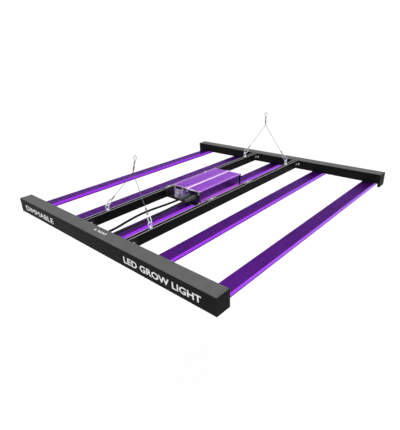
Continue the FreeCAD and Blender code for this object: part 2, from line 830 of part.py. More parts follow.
def make_plate(name, side, openings):
    """An end plate; openings are (x, z, radius) of the holes for what passes through it."""
    outer = plate_outer_y if side > 0 else plate_inner_y
    body = new_body(name, (0, outer * side, 0))
    sketch = new_sketch(body, "XZ_Plane")
    draw_outline(sketch, rectangle(-plate_half, plate_half, plate_low, plate_high))
    for across in (-plate_screw_x, plate_screw_x):
        for up in (plate_screw_low, plate_screw_high):
            draw_circle(sketch, across, up, d.plate_screw_r + d.screw_gap)
    for across, up, radius in openings:
        draw_circle(sketch, across, up, radius)
    if side < 0:
        for across in TRIM_SCREWS_X:
            draw_circle(sketch, across, plate_screw_high, d.plate_screw_r + d.screw_gap)
        for start, end in VENTS_X:
            high = plate_high - d.vent_down
            draw_outline(sketch, rectangle(start, end, high - d.vent_tall, high))
    pad(body, sketch, d.plate_thick)


thread_hole = d.gland_thread_r + d.screw_gap
make_plate("driver_front_plate", -1, [
    (d.gland_left_x, d.gland_z, thread_hole), (d.gland_right_x, d.gland_z, thread_hole),
    (d.knob_x, d.knob_z, d.shaft_r + 1)])
make_plate("driver_rear_plate", 1, [(d.mains_x, d.mains_z, thread_hole)])

plate_screw = pan_screw("plate_screw_pattern", d.plate_screw_r, d.plate_screw_head_r,
                        d.plate_screw_head, d.plate_screw_reach)
plate_screw_places = [
    spot(across, plate_outer_y * side, up, (1, 0, 0), -90 * side)
    for _, side in ENDS
    for across in (-plate_screw_x, plate_screw_x)
    for up in (plate_screw_low, plate_screw_high)
]
plate_screw_places += [
    spot(across, -plate_outer_y, plate_screw_high, (1, 0, 0), 90) for across in TRIM_SCREWS_X]
shape_part("driver_plate_screws", copies(plate_screw, plate_screw_places))


def make_strap(name, side):
    """A folded strap: under the driver, up beside both rails and out over their tops."""
    body = new_body(name, (0, (d.strap_place_y * side) - d.strap_wide / 2, 0))
    sketch = new_sketch(body, "XZ_Plane")
    thick = d.strap_thick
    leg_out = rail_inner_x - d.strap_gap
    leg_in = leg_out - thick
    foot_end = leg_in + d.strap_foot
    foot_top = d.beam_tall + thick
    right = [
        (leg_out, strap_low), (leg_out, d.beam_tall), (foot_end, d.beam_tall),
        (foot_end, foot_top), (leg_in, foot_top), (leg_in, strap_low + thick),
    ]
    left = [(-x, z) for x, z in reversed(right)]
    draw_outline(sketch, right + left)
    pad(body, sketch, d.strap_wide, reverse=True)
    holes = new_sketch(body, "XY_Plane")
    for across in (-rail_x, -d.strap_screw_x, d.strap_screw_x, rail_x):
        radius = d.eye_shank_r if abs(float(across)) > float(d.strap_screw_x) else d.plate_screw_r
        draw_circle(holes, across, d.strap_wide / 2, radius + d.screw_gap)
    pocket_through(body, holes)


for end, side in ENDS:
    make_strap(f"driver_{end}_strap", side)

rail_screw = pan_screw("rail_screw_pattern", d.eye_shank_r, d.corner_screw_head_r,
                       d.corner_screw_head, d.strap_thick + d.rail_lip_thick + d.nut_thick)
under_screw = pan_screw("under_screw_pattern", d.plate_screw_r, d.plate_screw_head_r,
                        d.plate_screw_head, d.strap_thick + d.strap_gap + d.driver_wall + 2)
strap_top = d.beam_tall + d.strap_thick
rail_screw_solids = copies(rail_screw, [
    spot(rail_x * side, d.strap_place_y * end_side, strap_top)
    for _, side in SIDES for _, end_side in ENDS])
under_screw_solids = copies(under_screw, [
    spot(d.strap_screw_x * side, d.strap_place_y * end_side, strap_low, (1, 0, 0), 180)
    for _, side in SIDES for _, end_side in ENDS])
strap_screw_solids = rail_screw_solids.Solids + under_screw_solids.Solids
shape_part("driver_strap_screws", Part.makeCompound(strap_screw_solids))

# circuit board between the screw blocks, with its transformer and capacitors
board_half_x = d.driver_wide / 2 - 11
board_half_y = plate_inner_y - 12
circuit_low = d.driver_low + d.driver_wall + 4
block("driver_board", (-board_half_x, -board_half_y, circuit_low),
      (board_half_x * 2, board_half_y * 2, d.board_thick))
part_low = circuit_low + d.board_thick
block("driver_transformer", (-24, -4, part_low), (44, 46, 30))
capacitor_solids = [
    Part.makeCylinder(9, 32, V(x, y, float(part_low)), V(0, 0, 1))
    for x, y in ((36, 40), (36, 62), (-36, 62))]
shape_part("driver_capacitors", Part.makeCompound(capacitor_solids))


# ---------------------------------------------------------------------------------------------
# Dimmer: control behind the plate, turning shaft, knob
# ---------------------------------------------------------------------------------------------
def make_dimmer():
    control = new_body("dimmer_control", (d.knob_x, -plate_inner_y, d.knob_z))
    sketch = new_sketch(control, "XZ_Plane")
    draw_outline(sketch, rectangle(-8, 8, -8, 8))
    draw_circle(sketch, 0, 0, d.shaft_r + d.running_gap)
    pad(control, sketch, 9, reverse=True)

    shaft_out = d.plate_thick + d.knob_gap + d.knob_bore_deep
    turned_body("dimmer_shaft", [
        (0, -8), (d.shaft_r, -8), (d.shaft_r, shaft_out), (0, shaft_out)],
        (d.knob_x, -plate_inner_y, d.knob_z), (V(1, 0, 0), 90))

    knob_at = (d.knob_x, -(plate_outer_y + d.knob_gap), d.knob_z)
    radius = d.knob_r
    knob = turned_body("dimmer_knob", [
        (d.shaft_r, 0), (radius, 0), (radius, 2.5), (radius - 1, 3.2), (radius - 1.6, d.knob_long - 1),
        (radius - 2.6, d.knob_long), (0, d.knob_long), (0, d.knob_bore_deep),
        (d.shaft_r, d.knob_bore_deep)], knob_at, (V(1, 0, 0), 90))
    flute = new_sketch(knob, "XY_Plane")
    draw_circle(flute, radius, 0, 0.9)
    before = knob.Tip
    cut = knob.newObject("PartDesign::Pocket", "knob_flute")
    cut.Profile = flute
    cut.Reversed = True
    bind(cut, "Length", d.knob_long - 2)
    cutting.append((cut, before))
    ring = knob.newObject("PartDesign::PolarPattern", "knob_flutes")
    ring.Originals = [cut]
    ring.Axis = (flute, ["N_Axis"])
    ring.Angle = 360
    bind(ring, "Occurrences", d.knob_flutes)
    knob.Tip = ring
    pointer = new_sketch(knob, "XY_Plane")
    draw_outline(pointer, rectangle(-0.8, 0.8, 2.0, radius - 1))
    doc.recompute()
    pointer.AttachmentOffset = spot(0, 0, d.knob_long - 0.8)
    pointer.setExpression("AttachmentOffset.Base.z", (d.knob_long - 0.8).formula)
    before = knob.Tip
    line = knob.newObject("PartDesign::Pocket", "knob_pointer")
    line.Profile = pointer
    line.Reversed = True
    bind(line, "Length", 2.0)
    cutting.append((line, before))


make_dimmer()


# ---------------------------------------------------------------------------------------------
# Glands, leads and grommets
# ---------------------------------------------------------------------------------------------
def make_gland(label, at, turn, bore, core_bore):
    """A gland on its own Z axis, 0 at the plate's outer face: thread, hexagon nut, ribbed boot.

    Bore takes the cord's sheath, and core_bore, up to the plate's face, what goes on inside.
    """
    nut_top = d.gland_nut_thick
    long = d.gland_long
    first_rib = 11.0
    thread_end = -(d.plate_thick + 3)
    profile = [(bore, 0), (core_bore, 0)] if bore is not core_bore else []
    profile += [
        (core_bore, thread_end), (d.gland_thread_r, thread_end),
        (d.gland_thread_r, 0), (d.gland_thread_r + 2, 0), (d.gland_thread_r + 2, nut_top + 1.5)]
    ribs = 5
    rib_run = (long - first_rib - 4) / ribs
    for i in range(ribs):
        outer = d.gland_thread_r + 1.6 - (d.gland_thread_r + 1.6 - d.gland_tip_r) * (i / ribs)
        start = rib_run * i + first_rib
        profile += [(outer, start - 1.5), (outer, start + rib_run - 3.5),
                    (outer - 1.1, start + rib_run - 3), (outer - 1.1, start + rib_run - 2)]
    profile += [(d.gland_tip_r, long - 4), (d.gland_tip_r, long), (bore, long)]
    body = turned_body(label, profile, at, turn)
    hexagon = new_sketch(body, "XY_Plane")
    corners = []
    for i in range(6):
        angle = math.radians(60 * i + 30)
        corners.append((d.gland_nut_r * math.cos(angle), d.gland_nut_r * math.sin(angle)))
    draw_outline(hexagon, corners)
    draw_circle(hexagon, 0, 0, d.gland_thread_r + 1)
    pad(body, hexagon, nut_top)


lead_bore = d.lead_r + d.lead_gap
for hand, gland_x in (("left", d.gland_left_x), ("right", d.gland_right_x)):
    make_gland(f"{hand}_lead_gland", (gland_x, -plate_outer_y, d.gland_z), (V(1, 0, 0), 90),
               lead_bore, d.core_bore_r)
make_gland("mains_gland", (d.mains_x, plate_outer_y, d.mains_z), (V(1, 0, 0), -90),
           d.mains_bore_r, d.mains_bore_r)

grommet = turned_body("grommet_pattern", [
    (lead_bore, -1.6), (d.grommet_r, -1.6), (d.grommet_r, 0), (d.grommet_r - d.beam_wall - d.screw_gap, 0),
    (d.grommet_r - d.beam_wall - d.screw_gap, d.beam_wall), (d.grommet_r, d.beam_wall),
    (d.grommet_r - 1, d.beam_wall + 2), (lead_bore, d.beam_wall + 2)], keep=False)
grommet_places = [
    spot(x, -(inner_face + d.beam_wall), d.grommet_z, (1, 0, 0), -90)
    for x in (d.grommet_left_x, d.grommet_right_x)]
shape_part("lead_grommets", copies(grommet, grommet_places))

# where the leads end, on the wiring strip inside the front beam
strip_y = -strip_outer_y + d.board_thick
terminal_face_y = strip_y + 15
lead_first = 88.0                 # first run of each lead, out of its gland
lead_last = 49.0                  # last run, through its grommet
lead_out_y = -(plate_outer_y + lead_first)
lead_in_y = terminal_face_y + lead_last

LEFT_ROUTE = [
    (d.gland_left_x, -plate_outer_y, d.gland_z), (d.gland_left_x, lead_out_y, d.gland_z),
    (-4, -287, 44.5), (-3, -353, 40.5), (d.grommet_left_x, lead_in_y, d.grommet_z),
    (d.grommet_left_x, terminal_face_y, d.grommet_z)]
RIGHT_ROUTE = [
    (d.gland_right_x, -plate_outer_y, d.gland_z), (d.gland_right_x, lead_out_y, d.gland_z),
    (46, -287, 45), (42, -353, 41), (d.grommet_right_x, lead_in_y, d.grommet_z),
    (d.grommet_right_x, terminal_face_y, d.grommet_z)]
for hand, route in (("left", LEFT_ROUTE), ("right", RIGHT_ROUTE)):
    shape_part(f"{hand}_lead", tube(f"{hand}_lead", route, float(d.lead_r)))


# ---------------------------------------------------------------------------------------------
# Wiring strip, terminal block and bar plugs inside the front beam
# ---------------------------------------------------------------------------------------------
strip_half = half_x - d.cap_long - d.cap_tongue - d.strip_setback
block("wiring_strip", (-strip_half, -strip_outer_y, d.strip_low),
      (strip_half * 2, d.board_thick, d.strip_tall))
block("terminal_block", (d.grommet_left_x - 8, strip_y, d.grommet_z - 6),
      (d.grommet_right_x - d.grommet_left_x + 16, 15, 12))
plug_solids = []
for centre in bar_centres:
    plug_x = float(centre) - 30 if abs(float(centre)) < 1 else float(centre) - 8
    plug_solids.append(Part.makeBox(16, float(d.plug_long), 10, V(plug_x, float(strip_y), 25)))
shape_part("bar_plugs", Part.makeCompound(plug_solids))


# ---------------------------------------------------------------------------------------------
# Eyebolts
# ---------------------------------------------------------------------------------------------
def eyebolt_shape():
    """An eyebolt on its own Z axis, 0 at the top of the rail; the hole of its eye runs along X."""
    reach = float(d.rail_lip_thick + d.nut_thick)
    ring = Part.makeTorus(float(d.eye_ring_r), float(d.eye_wire_r), V(0, 0, float(d.eye_up)), V(1, 0, 0))
    collar = Part.makeCylinder(float(eye_collar_r), float(d.eye_collar))
    collar = collar.makeChamfer(0.7, [e for e in collar.Edges if e.Curve.TypeId == "Part::GeomCircle"])
    shank = Part.makeCylinder(float(d.eye_shank_r), reach, V(0, 0, -reach))
    neck_top = float(d.eye_up - d.eye_ring_r)
    neck = Part.makeCone(3.6, 1.6, neck_top - float(d.eye_collar), V(0, 0, float(d.eye_collar)))
    return collar.multiFuse([shank, neck, ring])


eyebolt = eyebolt_shape()
eyebolt_places = [
    spot(rail_x * side, eye_place_y * end_side, d.beam_tall)
    for _, side in SIDES for _, end_side in ENDS]
shape_part("eyebolts", Part.makeCompound([moved(eyebolt, p) for p in eyebolt_places]))


# ---------------------------------------------------------------------------------------------
# Snap hooks and gates.  Own frame: the hook hangs along Z, its plane is XZ, and the bow that
# lies in the eye has its centre line through the origin.
# ---------------------------------------------------------------------------------------------
hook_low = float(d.hook_end_r)
hook_high = hook_low + float(d.hook_straight)
hook_top = hook_high + float(d.hook_end_r)
pivot_z = hook_low + 3.2
GATE_CHEEK = (0.9, 1.5)           # inner and outer face of each cheek of the gate
PIN_R = 0.7
CRIMP_HALF = 4.5                  # half the length of each crimp
CRIMP_R = 2.0
APEX_CRIMP_HALF = 5.5
APEX_CRIMP_R = 2.7
SECOND_CRIMP_UP = 16.0            # of the small crimp below the hanging loop, above the apex
STRAND = 1.0                      # from the axis of a crimp to each of its two strands
APEX_BEND = 14.0                  # how far below the apex crimp's centre each leg turns upright


def hook_shape():
    """An oval link, open on one side between its nose and the tab that carries the gate's pin."""
    side = float(d.hook_end_r)
    nose = V(side, 0, hook_high - 2.0)
    edges = [
        Part.LineSegment(nose, V(side, 0, hook_high)).toShape(),
        Part.Arc(V(side, 0, hook_high), V(0, 0, hook_top), V(-side, 0, hook_high)).toShape(),
        Part.LineSegment(V(-side, 0, hook_high), V(-side, 0, hook_low)).toShape(),
        Part.Arc(V(-side, 0, hook_low), V(0, 0, 0), V(side, 0, hook_low)).toShape(),
        Part.LineSegment(V(side, 0, hook_low), V(side, 0, hook_low + 0.8)).toShape(),
    ]
    wire = sweep(edges, float(d.hook_wire_r))
    tab = Part.makeBox(2.2, 1.2, pivot_z + 1.1 - hook_low, V(side - 1.1, -0.6, hook_low))
    pin_half = GATE_CHEEK[1] + 0.2
    pin = Part.makeCylinder(PIN_R, pin_half * 2, V(side, -pin_half, pivot_z), V(0, 1, 0))
    return wire.multiFuse([tab, pin])


def gate_shape():
    """The sprung gate: a round bar with two cheeks that turn on the hook's pin."""
    side = float(d.hook_end_r)
    bar_low = pivot_z + 2.4
    bar_high = hook_high - 2.0 - float(d.gate_gap)
    bar = Part.makeCylinder(1.25, bar_high - bar_low, V(side, 0, bar_low))
    inner, outer = GATE_CHEEK
    solids = []
    for low in (-outer, inner):
        cheek = Part.makeBox(2.2, outer - inner, bar_low + 2.5 - pivot_z, V(side - 1.1, low, pivot_z))
        knuckle = Part.makeCylinder(1.1, outer - inner, V(side, low, pivot_z), V(0, 1, 0))
        solids += [cheek, knuckle]
    hole = Part.makeCylinder(PIN_R + float(d.running_gap), outer * 2 + 2, V(side, -outer - 1, pivot_z),
                             V(0, 1, 0))
    return bar.multiFuse(solids).cut(hole)


def bridle_placement(end_side, lean):
    """The frame of a bridle: origin midway between its eyes, X to the right, Z up its own plane."""
    return spot(0, eye_place_y * end_side, eye_z, (1, 0, 0), float(lean) * end_side)


def leg_angle(rise):
    """How far each leg leans from upright, in degrees, from its ring's top to its apex bend."""
    across = float(rail_x) - STRAND
    return math.degrees(math.atan2(across, float(rise) - APEX_BEND - float(d.eye_ring_r)))


def leg_placement(rise, side):
    """The frame of one leg: origin at the hook's lower bow, Z up the rope.

    The bow lies under the top of the eye's ring and pulls up against it.
    """
    angle = leg_angle(rise) * side
    slack = float(d.hook_wire_r + d.eye_wire_r + d.hook_gap)
    across = float(rail_x) * side + slack * math.sin(math.radians(angle))
    up = float(d.eye_ring_r) - slack * math.cos(math.radians(angle))
    return spot(across, 0, up, (0, 1, 0), -angle)


def hook_placement(rise, side):
    """Both gates face the middle of the light, so the right hook is turned about its leg."""
    return leg_placement(rise, side).multiply(spot(0, 0, 0, (0, 0, 1), 0 if side < 0 else 180))


# ---------------------------------------------------------------------------------------------
# Rope bridles.  Both strands of a loop end inside a crimp, where the leg begins.
# ---------------------------------------------------------------------------------------------
def rope_run(start, end):
    """A straight stretch of rope."""
    direction = end - start
    return Part.makeCylinder(float(d.rope_r), direction.Length, start, direction)


def eye_loop(centre_r, reach):
    """A teardrop of rope in the plane YZ: two strands from 0 that meet round an arc at the top."""
    centre = reach - centre_r
    angle = math.asin((centre_r - STRAND) / centre)
    touch_y = centre_r * math.cos(angle)
    touch_z = centre - centre_r * math.sin(angle)
    left = V(0, -touch_y, touch_z)
    right = V(0, touch_y, touch_z)
    bend = sweep([Part.Arc(right, V(0, 0, reach), left).toShape()], float(d.rope_r))
    return bend.multiFuse([
        rope_run(V(0, STRAND, 0), right), rope_run(left, V(0, -STRAND, 0)),
        Part.makeSphere(float(d.rope_r), right), Part.makeSphere(float(d.rope_r), left)])


def oval_crimp():
    """A flattened sleeve on its own Z axis, centred, round two strands that lie along Y."""
    halves = [
        Part.makeCylinder(CRIMP_R, 2 * CRIMP_HALF, V(0, shift, -CRIMP_HALF))
        for shift in (-STRAND * 0.6, STRAND * 0.6)]
    return halves[0].fuse(halves[1]).removeSplitter()


def make_bridle(end, end_side, rise, lean):
    frame = bridle_placement(end_side, lean)
    hook_solid = hook_shape()
    hooks = [moved(hook_solid, frame.multiply(hook_placement(rise, side))) for _, side in SIDES]
    shape_part(f"{end}_snap_hooks", Part.makeCompound(hooks))
    for hand, side in SIDES:
        shape_part(f"{end}_{hand}_gate", gate_shape(), frame.multiply(hook_placement(rise, side)))

    # along each leg, from the hook up: small loop round the hook's top bow, crimp, straight rope
    loop_r = float(d.hook_wire_r) + float(d.rope_r) + 0.4
    crimp_at = hook_top + 13.0
    apex_z = float(rise)
    rope = []
    crimps = []
    for _, side in SIDES:
        leg = leg_placement(rise, side)
        upside_down = leg.multiply(spot(0, 0, crimp_at, (1, 0, 0), 180))
        rope.append(moved(eye_loop(loop_r, crimp_at - hook_top + loop_r), upside_down))
        crimps.append(moved(oval_crimp(), leg.multiply(spot(0, 0, crimp_at))))
        start = leg.multVec(V(0, 0, crimp_at + 0.5))
        bend = V(STRAND * side, 0, apex_z - APEX_BEND)
        rope.append(tube(f"{end}_leg", [start, bend, V(STRAND * side, 0, apex_z)], float(d.rope_r)))

    # above the apex crimp: two strands to the second crimp, then the loop to hang the light by
    second_z = apex_z + SECOND_CRIMP_UP
    for side in (-1, 1):
        rope.append(rope_run(V(STRAND * side, 0, apex_z + 0.5), V(STRAND * side, 0, second_z - 0.5)))
    hanging_loop = eye_loop(float(d.loop_r), float(d.loop_tall) - SECOND_CRIMP_UP)
    rope.append(moved(hanging_loop, spot(0, 0, second_z, (0, 0, 1), 90)))
    crimps.append(Part.makeCylinder(APEX_CRIMP_R, 2 * APEX_CRIMP_HALF, V(0, 0, apex_z - APEX_CRIMP_HALF)))
    crimps.append(Part.makeCylinder(CRIMP_R + 0.4, CRIMP_HALF * 1.5, V(0, 0, second_z - CRIMP_HALF * 0.75)))
    rope_shape = Part.makeCompound(rope)
    hollow = [crimp.cut(rope_shape).Solids[0] for crimp in crimps]
    shape_part(f"{end}_rope", moved(rope_shape, frame))
    shape_part(f"{end}_crimps", moved(Part.makeCompound(hollow), frame))


make_bridle("front", -1, d.front_rise, d.front_lean)
make_bridle("rear", 1, d.rear_rise, 0)


# ---------------------------------------------------------------------------------------------
# Checks, then one file for each sub-part
# ---------------------------------------------------------------------------------------------
def check_document():
    doc.recompute()
    for thing in doc.Objects:
        bad = [word for word in thing.State if word in ("Invalid", "Error")]
        if bad:
            raise RuntimeError(f"{thing.Label}: {bad}")
    for cut, before in cutting:
        if cut.Shape.Volume >= before.Shape.Volume - 1e-6:
            raise RuntimeError(f"{cut.Label} removes nothing")
    for part in parts:
        if part.Shape.isNull() or not part.Shape.isValid() or not part.Shape.Solids:
            raise RuntimeError(f"{part.Label}: no valid solid")


check_document()
os.makedirs("parts", exist_ok=True)
for part in parts:
    part.Shape.exportStep(os.path.join("parts", f"{part.Label}.step"))
print(len(parts), "sub-parts written")
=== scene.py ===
import json
import math

import bmesh
import bpy
from mathutils import Matrix, Vector


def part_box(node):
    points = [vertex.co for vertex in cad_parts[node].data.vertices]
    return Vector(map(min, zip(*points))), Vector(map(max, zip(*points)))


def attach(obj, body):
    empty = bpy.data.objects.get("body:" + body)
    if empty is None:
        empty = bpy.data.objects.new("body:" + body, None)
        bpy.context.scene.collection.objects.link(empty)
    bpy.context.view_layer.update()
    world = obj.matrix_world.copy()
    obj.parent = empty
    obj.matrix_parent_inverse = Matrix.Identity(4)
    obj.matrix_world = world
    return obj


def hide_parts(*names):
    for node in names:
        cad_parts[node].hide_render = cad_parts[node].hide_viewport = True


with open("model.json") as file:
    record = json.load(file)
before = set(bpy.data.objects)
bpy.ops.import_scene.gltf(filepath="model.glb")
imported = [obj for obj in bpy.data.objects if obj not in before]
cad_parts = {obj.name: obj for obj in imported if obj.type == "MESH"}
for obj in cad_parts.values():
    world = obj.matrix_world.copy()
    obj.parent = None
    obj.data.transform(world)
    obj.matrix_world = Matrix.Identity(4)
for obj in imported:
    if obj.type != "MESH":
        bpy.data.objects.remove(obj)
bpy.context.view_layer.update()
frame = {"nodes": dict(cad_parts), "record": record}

# Hanging LED grow light.  Metres, in the frame of the light: X along the end beams, Y along the
# light bars, Z up.  Everything here gives the metal, plastic and steel pieces their finish, and
# adds the LEDs, the printed words and the leads.

scene = bpy.context.scene
MM = 0.001


# --------------------------------------------------------------------------------------------
# Node helpers
# --------------------------------------------------------------------------------------------
def add_node(tree, kind, values=None, **settings):
    """A node of that kind, with its settings and the given input values."""
    node = tree.nodes.new(kind)
    for key, value in settings.items():
        setattr(node, key, value)
    for key, value in (values or {}).items():
        node.inputs[key].default_value = value
    return node


def new_group(name, inputs, outputs):
    """An empty shader node group; inputs and outputs are (name, socket type, default)."""
    group = bpy.data.node_groups.new(name, "ShaderNodeTree")
    for socket_name, kind, default in inputs:
        socket = group.interface.new_socket(socket_name, in_out="INPUT", socket_type=kind)
        if default is not None:
            socket.default_value = default
    for socket_name, kind in outputs:
        group.interface.new_socket(socket_name, in_out="OUTPUT", socket_type=kind)
    return group, group.nodes.new("NodeGroupInput"), group.nodes.new("NodeGroupOutput")


def grained_colour_group():
    """A colour that drifts a little over the surface, with fine specks, and the same as a mask."""
    group, start, end = new_group(
        "grained_colour",
        [("Colour", "NodeSocketColor", (0.5, 0.5, 0.5, 1)),
         ("Second Colour", "NodeSocketColor", (0.4, 0.4, 0.4, 1)),
         ("Drift Scale", "NodeSocketFloat", 8.0), ("Speck Scale", "NodeSocketFloat", 600.0),
         ("Amount", "NodeSocketFloat", 0.5)],
        [("Colour", "NodeSocketColor"), ("Mask", "NodeSocketFloat")])
    link = group.links.new
    place = add_node(group, "ShaderNodeTexCoord")
    drift = add_node(group, "ShaderNodeTexNoise", {"Detail": 3.0, "Roughness": 0.55})
    speck = add_node(group, "ShaderNodeTexNoise", {"Detail": 2.0, "Roughness": 0.6})
    for noise, scale in ((drift, "Drift Scale"), (speck, "Speck Scale")):
        link(place.outputs["Object"], noise.inputs["Vector"])
        link(start.outputs[scale], noise.inputs["Scale"])
    both = add_node(group, "ShaderNodeMath", operation="MULTIPLY_ADD")
    both.inputs[1].default_value = 0.55
    link(drift.outputs["Fac"], both.inputs[0])
    half_speck = add_node(group, "ShaderNodeMath", operation="MULTIPLY")
    half_speck.inputs[1].default_value = 0.45
    link(speck.outputs["Fac"], half_speck.inputs[0])
    link(half_speck.outputs[0], both.inputs[2])
    spread = add_node(group, "ShaderNodeMapRange",
                      {"From Min": 0.35, "From Max": 0.65, "To Min": 0.0, "To Max": 1.0})
    link(both.outputs[0], spread.inputs["Value"])
    share = add_node(group, "ShaderNodeMath", operation="MULTIPLY")
    link(spread.outputs["Result"], share.inputs[0])
    link(start.outputs["Amount"], share.inputs[1])
    mix = add_node(group, "ShaderNodeMix", data_type="RGBA")
    link(share.outputs[0], mix.inputs["Factor"])
    link(start.outputs["Colour"], mix.inputs[6])
    link(start.outputs["Second Colour"], mix.inputs[7])
    link(mix.outputs[2], end.inputs["Colour"])
    link(spread.outputs["Result"], end.inputs["Mask"])
    return group


def drawn_lines_group():
    """Fine lines left by drawing or brushing: noise stretched by the given scale along each axis."""
    group, start, end = new_group(
        "drawn_lines",
        [("Stretch", "NodeSocketVector", (1400.0, 12.0, 1400.0)),
         ("Detail", "NodeSocketFloat", 3.0)],
        [("Height", "NodeSocketFloat")])
    link = group.links.new
    place = add_node(group, "ShaderNodeTexCoord")
    scaled = add_node(group, "ShaderNodeVectorMath", operation="MULTIPLY")
    link(place.outputs["Object"], scaled.inputs[0])
    link(start.outputs["Stretch"], scaled.inputs[1])
    noise = add_node(group, "ShaderNodeTexNoise", {"Scale": 1.0, "Roughness": 0.6})
    link(scaled.outputs[0], noise.inputs["Vector"])
    link(start.outputs["Detail"], noise.inputs["Detail"])
    link(noise.outputs["Fac"], end.inputs["Height"])
    return group


def painted_edge_highlight_group():
    """Painted edge highlight: 1 on the outer edges of a piece and 0 on its flats, broken up by noise.
    """
    group, start, end = new_group(
        "painted_edge_highlight",
        [("Width", "NodeSocketFloat", 0.0006), ("Breakup Scale", "NodeSocketFloat", 220.0)],
        [("Mask", "NodeSocketFloat")])
    link = group.links.new
    rounded = add_node(group, "ShaderNodeBevel", samples=4)
    link(start.outputs["Width"], rounded.inputs["Radius"])
    flat = add_node(group, "ShaderNodeNewGeometry")
    dot = add_node(group, "ShaderNodeVectorMath", operation="DOT_PRODUCT")
    link(rounded.outputs["Normal"], dot.inputs[0])
    link(flat.outputs["Normal"], dot.inputs[1])
    edge = add_node(group, "ShaderNodeMapRange",
                    {"From Min": 0.995, "From Max": 0.93, "To Min": 0.0, "To Max": 1.0})
    link(dot.outputs["Value"], edge.inputs["Value"])
    place = add_node(group, "ShaderNodeTexCoord")
    noise = add_node(group, "ShaderNodeTexNoise", {"Detail": 3.0})
    link(place.outputs["Object"], noise.inputs["Vector"])
    link(start.outputs["Breakup Scale"], noise.inputs["Scale"])
    patches = add_node(group, "ShaderNodeMapRange",
                       {"From Min": 0.4, "From Max": 0.62, "To Min": 0.25, "To Max": 1.0})
    link(noise.outputs["Fac"], patches.inputs["Value"])
    product = add_node(group, "ShaderNodeMath", operation="MULTIPLY")
    link(edge.outputs["Result"], product.inputs[0])
    link(patches.outputs["Result"], product.inputs[1])
    link(product.outputs[0], end.inputs["Mask"])
    return group


def facing_up_group():
    """Painted top light: 1 on faces that look up and lie above the given height, fading over their
    grain.
    """
    group, start, end = new_group(
        "facing_up", [("Above", "NodeSocketFloat", -1.0)], [("Mask", "NodeSocketFloat")])
    link = group.links.new
    flat = add_node(group, "ShaderNodeNewGeometry")
    normal = add_node(group, "ShaderNodeSeparateXYZ")
    link(flat.outputs["Normal"], normal.inputs[0])
    upward = add_node(group, "ShaderNodeMapRange",
                      {"From Min": 0.45, "From Max": 0.92, "To Min": 0.0, "To Max": 1.0})
    link(normal.outputs["Z"], upward.inputs["Value"])
    place = add_node(group, "ShaderNodeTexCoord")
    height = add_node(group, "ShaderNodeSeparateXYZ")
    link(place.outputs["Object"], height.inputs[0])
    over = add_node(group, "ShaderNodeMath", operation="GREATER_THAN")
    link(height.outputs["Z"], over.inputs[0])
    link(start.outputs["Above"], over.inputs[1])
    noise = add_node(group, "ShaderNodeTexNoise", {"Scale": 35.0, "Detail": 4.0})
    link(place.outputs["Object"], noise.inputs["Vector"])
    uneven = add_node(group, "ShaderNodeMapRange",
                      {"From Min": 0.3, "From Max": 0.7, "To Min": 0.82, "To Max": 1.0})
    link(noise.outputs["Fac"], uneven.inputs["Value"])
    product = add_node(group, "ShaderNodeMath", operation="MULTIPLY")
    link(upward.outputs["Result"], product.inputs[0])
    link(over.outputs[0], product.inputs[1])
    last = add_node(group, "ShaderNodeMath", operation="MULTIPLY")
    link(product.outputs[0], last.inputs[0])
    link(uneven.outputs["Result"], last.inputs[1])
    link(last.outputs[0], end.inputs["Mask"])
    return group


def band_group():
    """1 between two places along the axis whose input is 1, and 0 outside."""
    group, start, end = new_group(
        "band_along_axis",
        [("X", "NodeSocketFloat", 0.0), ("Y", "NodeSocketFloat", 0.0),
         ("Z", "NodeSocketFloat", 1.0), ("Low", "NodeSocketFloat", 0.0),
         ("High", "NodeSocketFloat", 1.0)],
        [("Mask", "NodeSocketFloat")])
    link = group.links.new
    place = add_node(group, "ShaderNodeTexCoord")
    axis = add_node(group, "ShaderNodeCombineXYZ")
    for letter in "XYZ":
        link(start.outputs[letter], axis.inputs[letter])
    along = add_node(group, "ShaderNodeVectorMath", operation="DOT_PRODUCT")
    link(place.outputs["Object"], along.inputs[0])
    link(axis.outputs[0], along.inputs[1])
    above = add_node(group, "ShaderNodeMath", operation="GREATER_THAN")
    below = add_node(group, "ShaderNodeMath", operation="LESS_THAN")
    both = add_node(group, "ShaderNodeMath", operation="MULTIPLY")
    link(along.outputs["Value"], above.inputs[0])
    link(start.outputs["Low"], above.inputs[1])
    link(along.outputs["Value"], below.inputs[0])
    link(start.outputs["High"], below.inputs[1])
    link(above.outputs[0], both.inputs[0])
    link(below.outputs[0], both.inputs[1])
    link(both.outputs[0], end.inputs["Mask"])
    return group


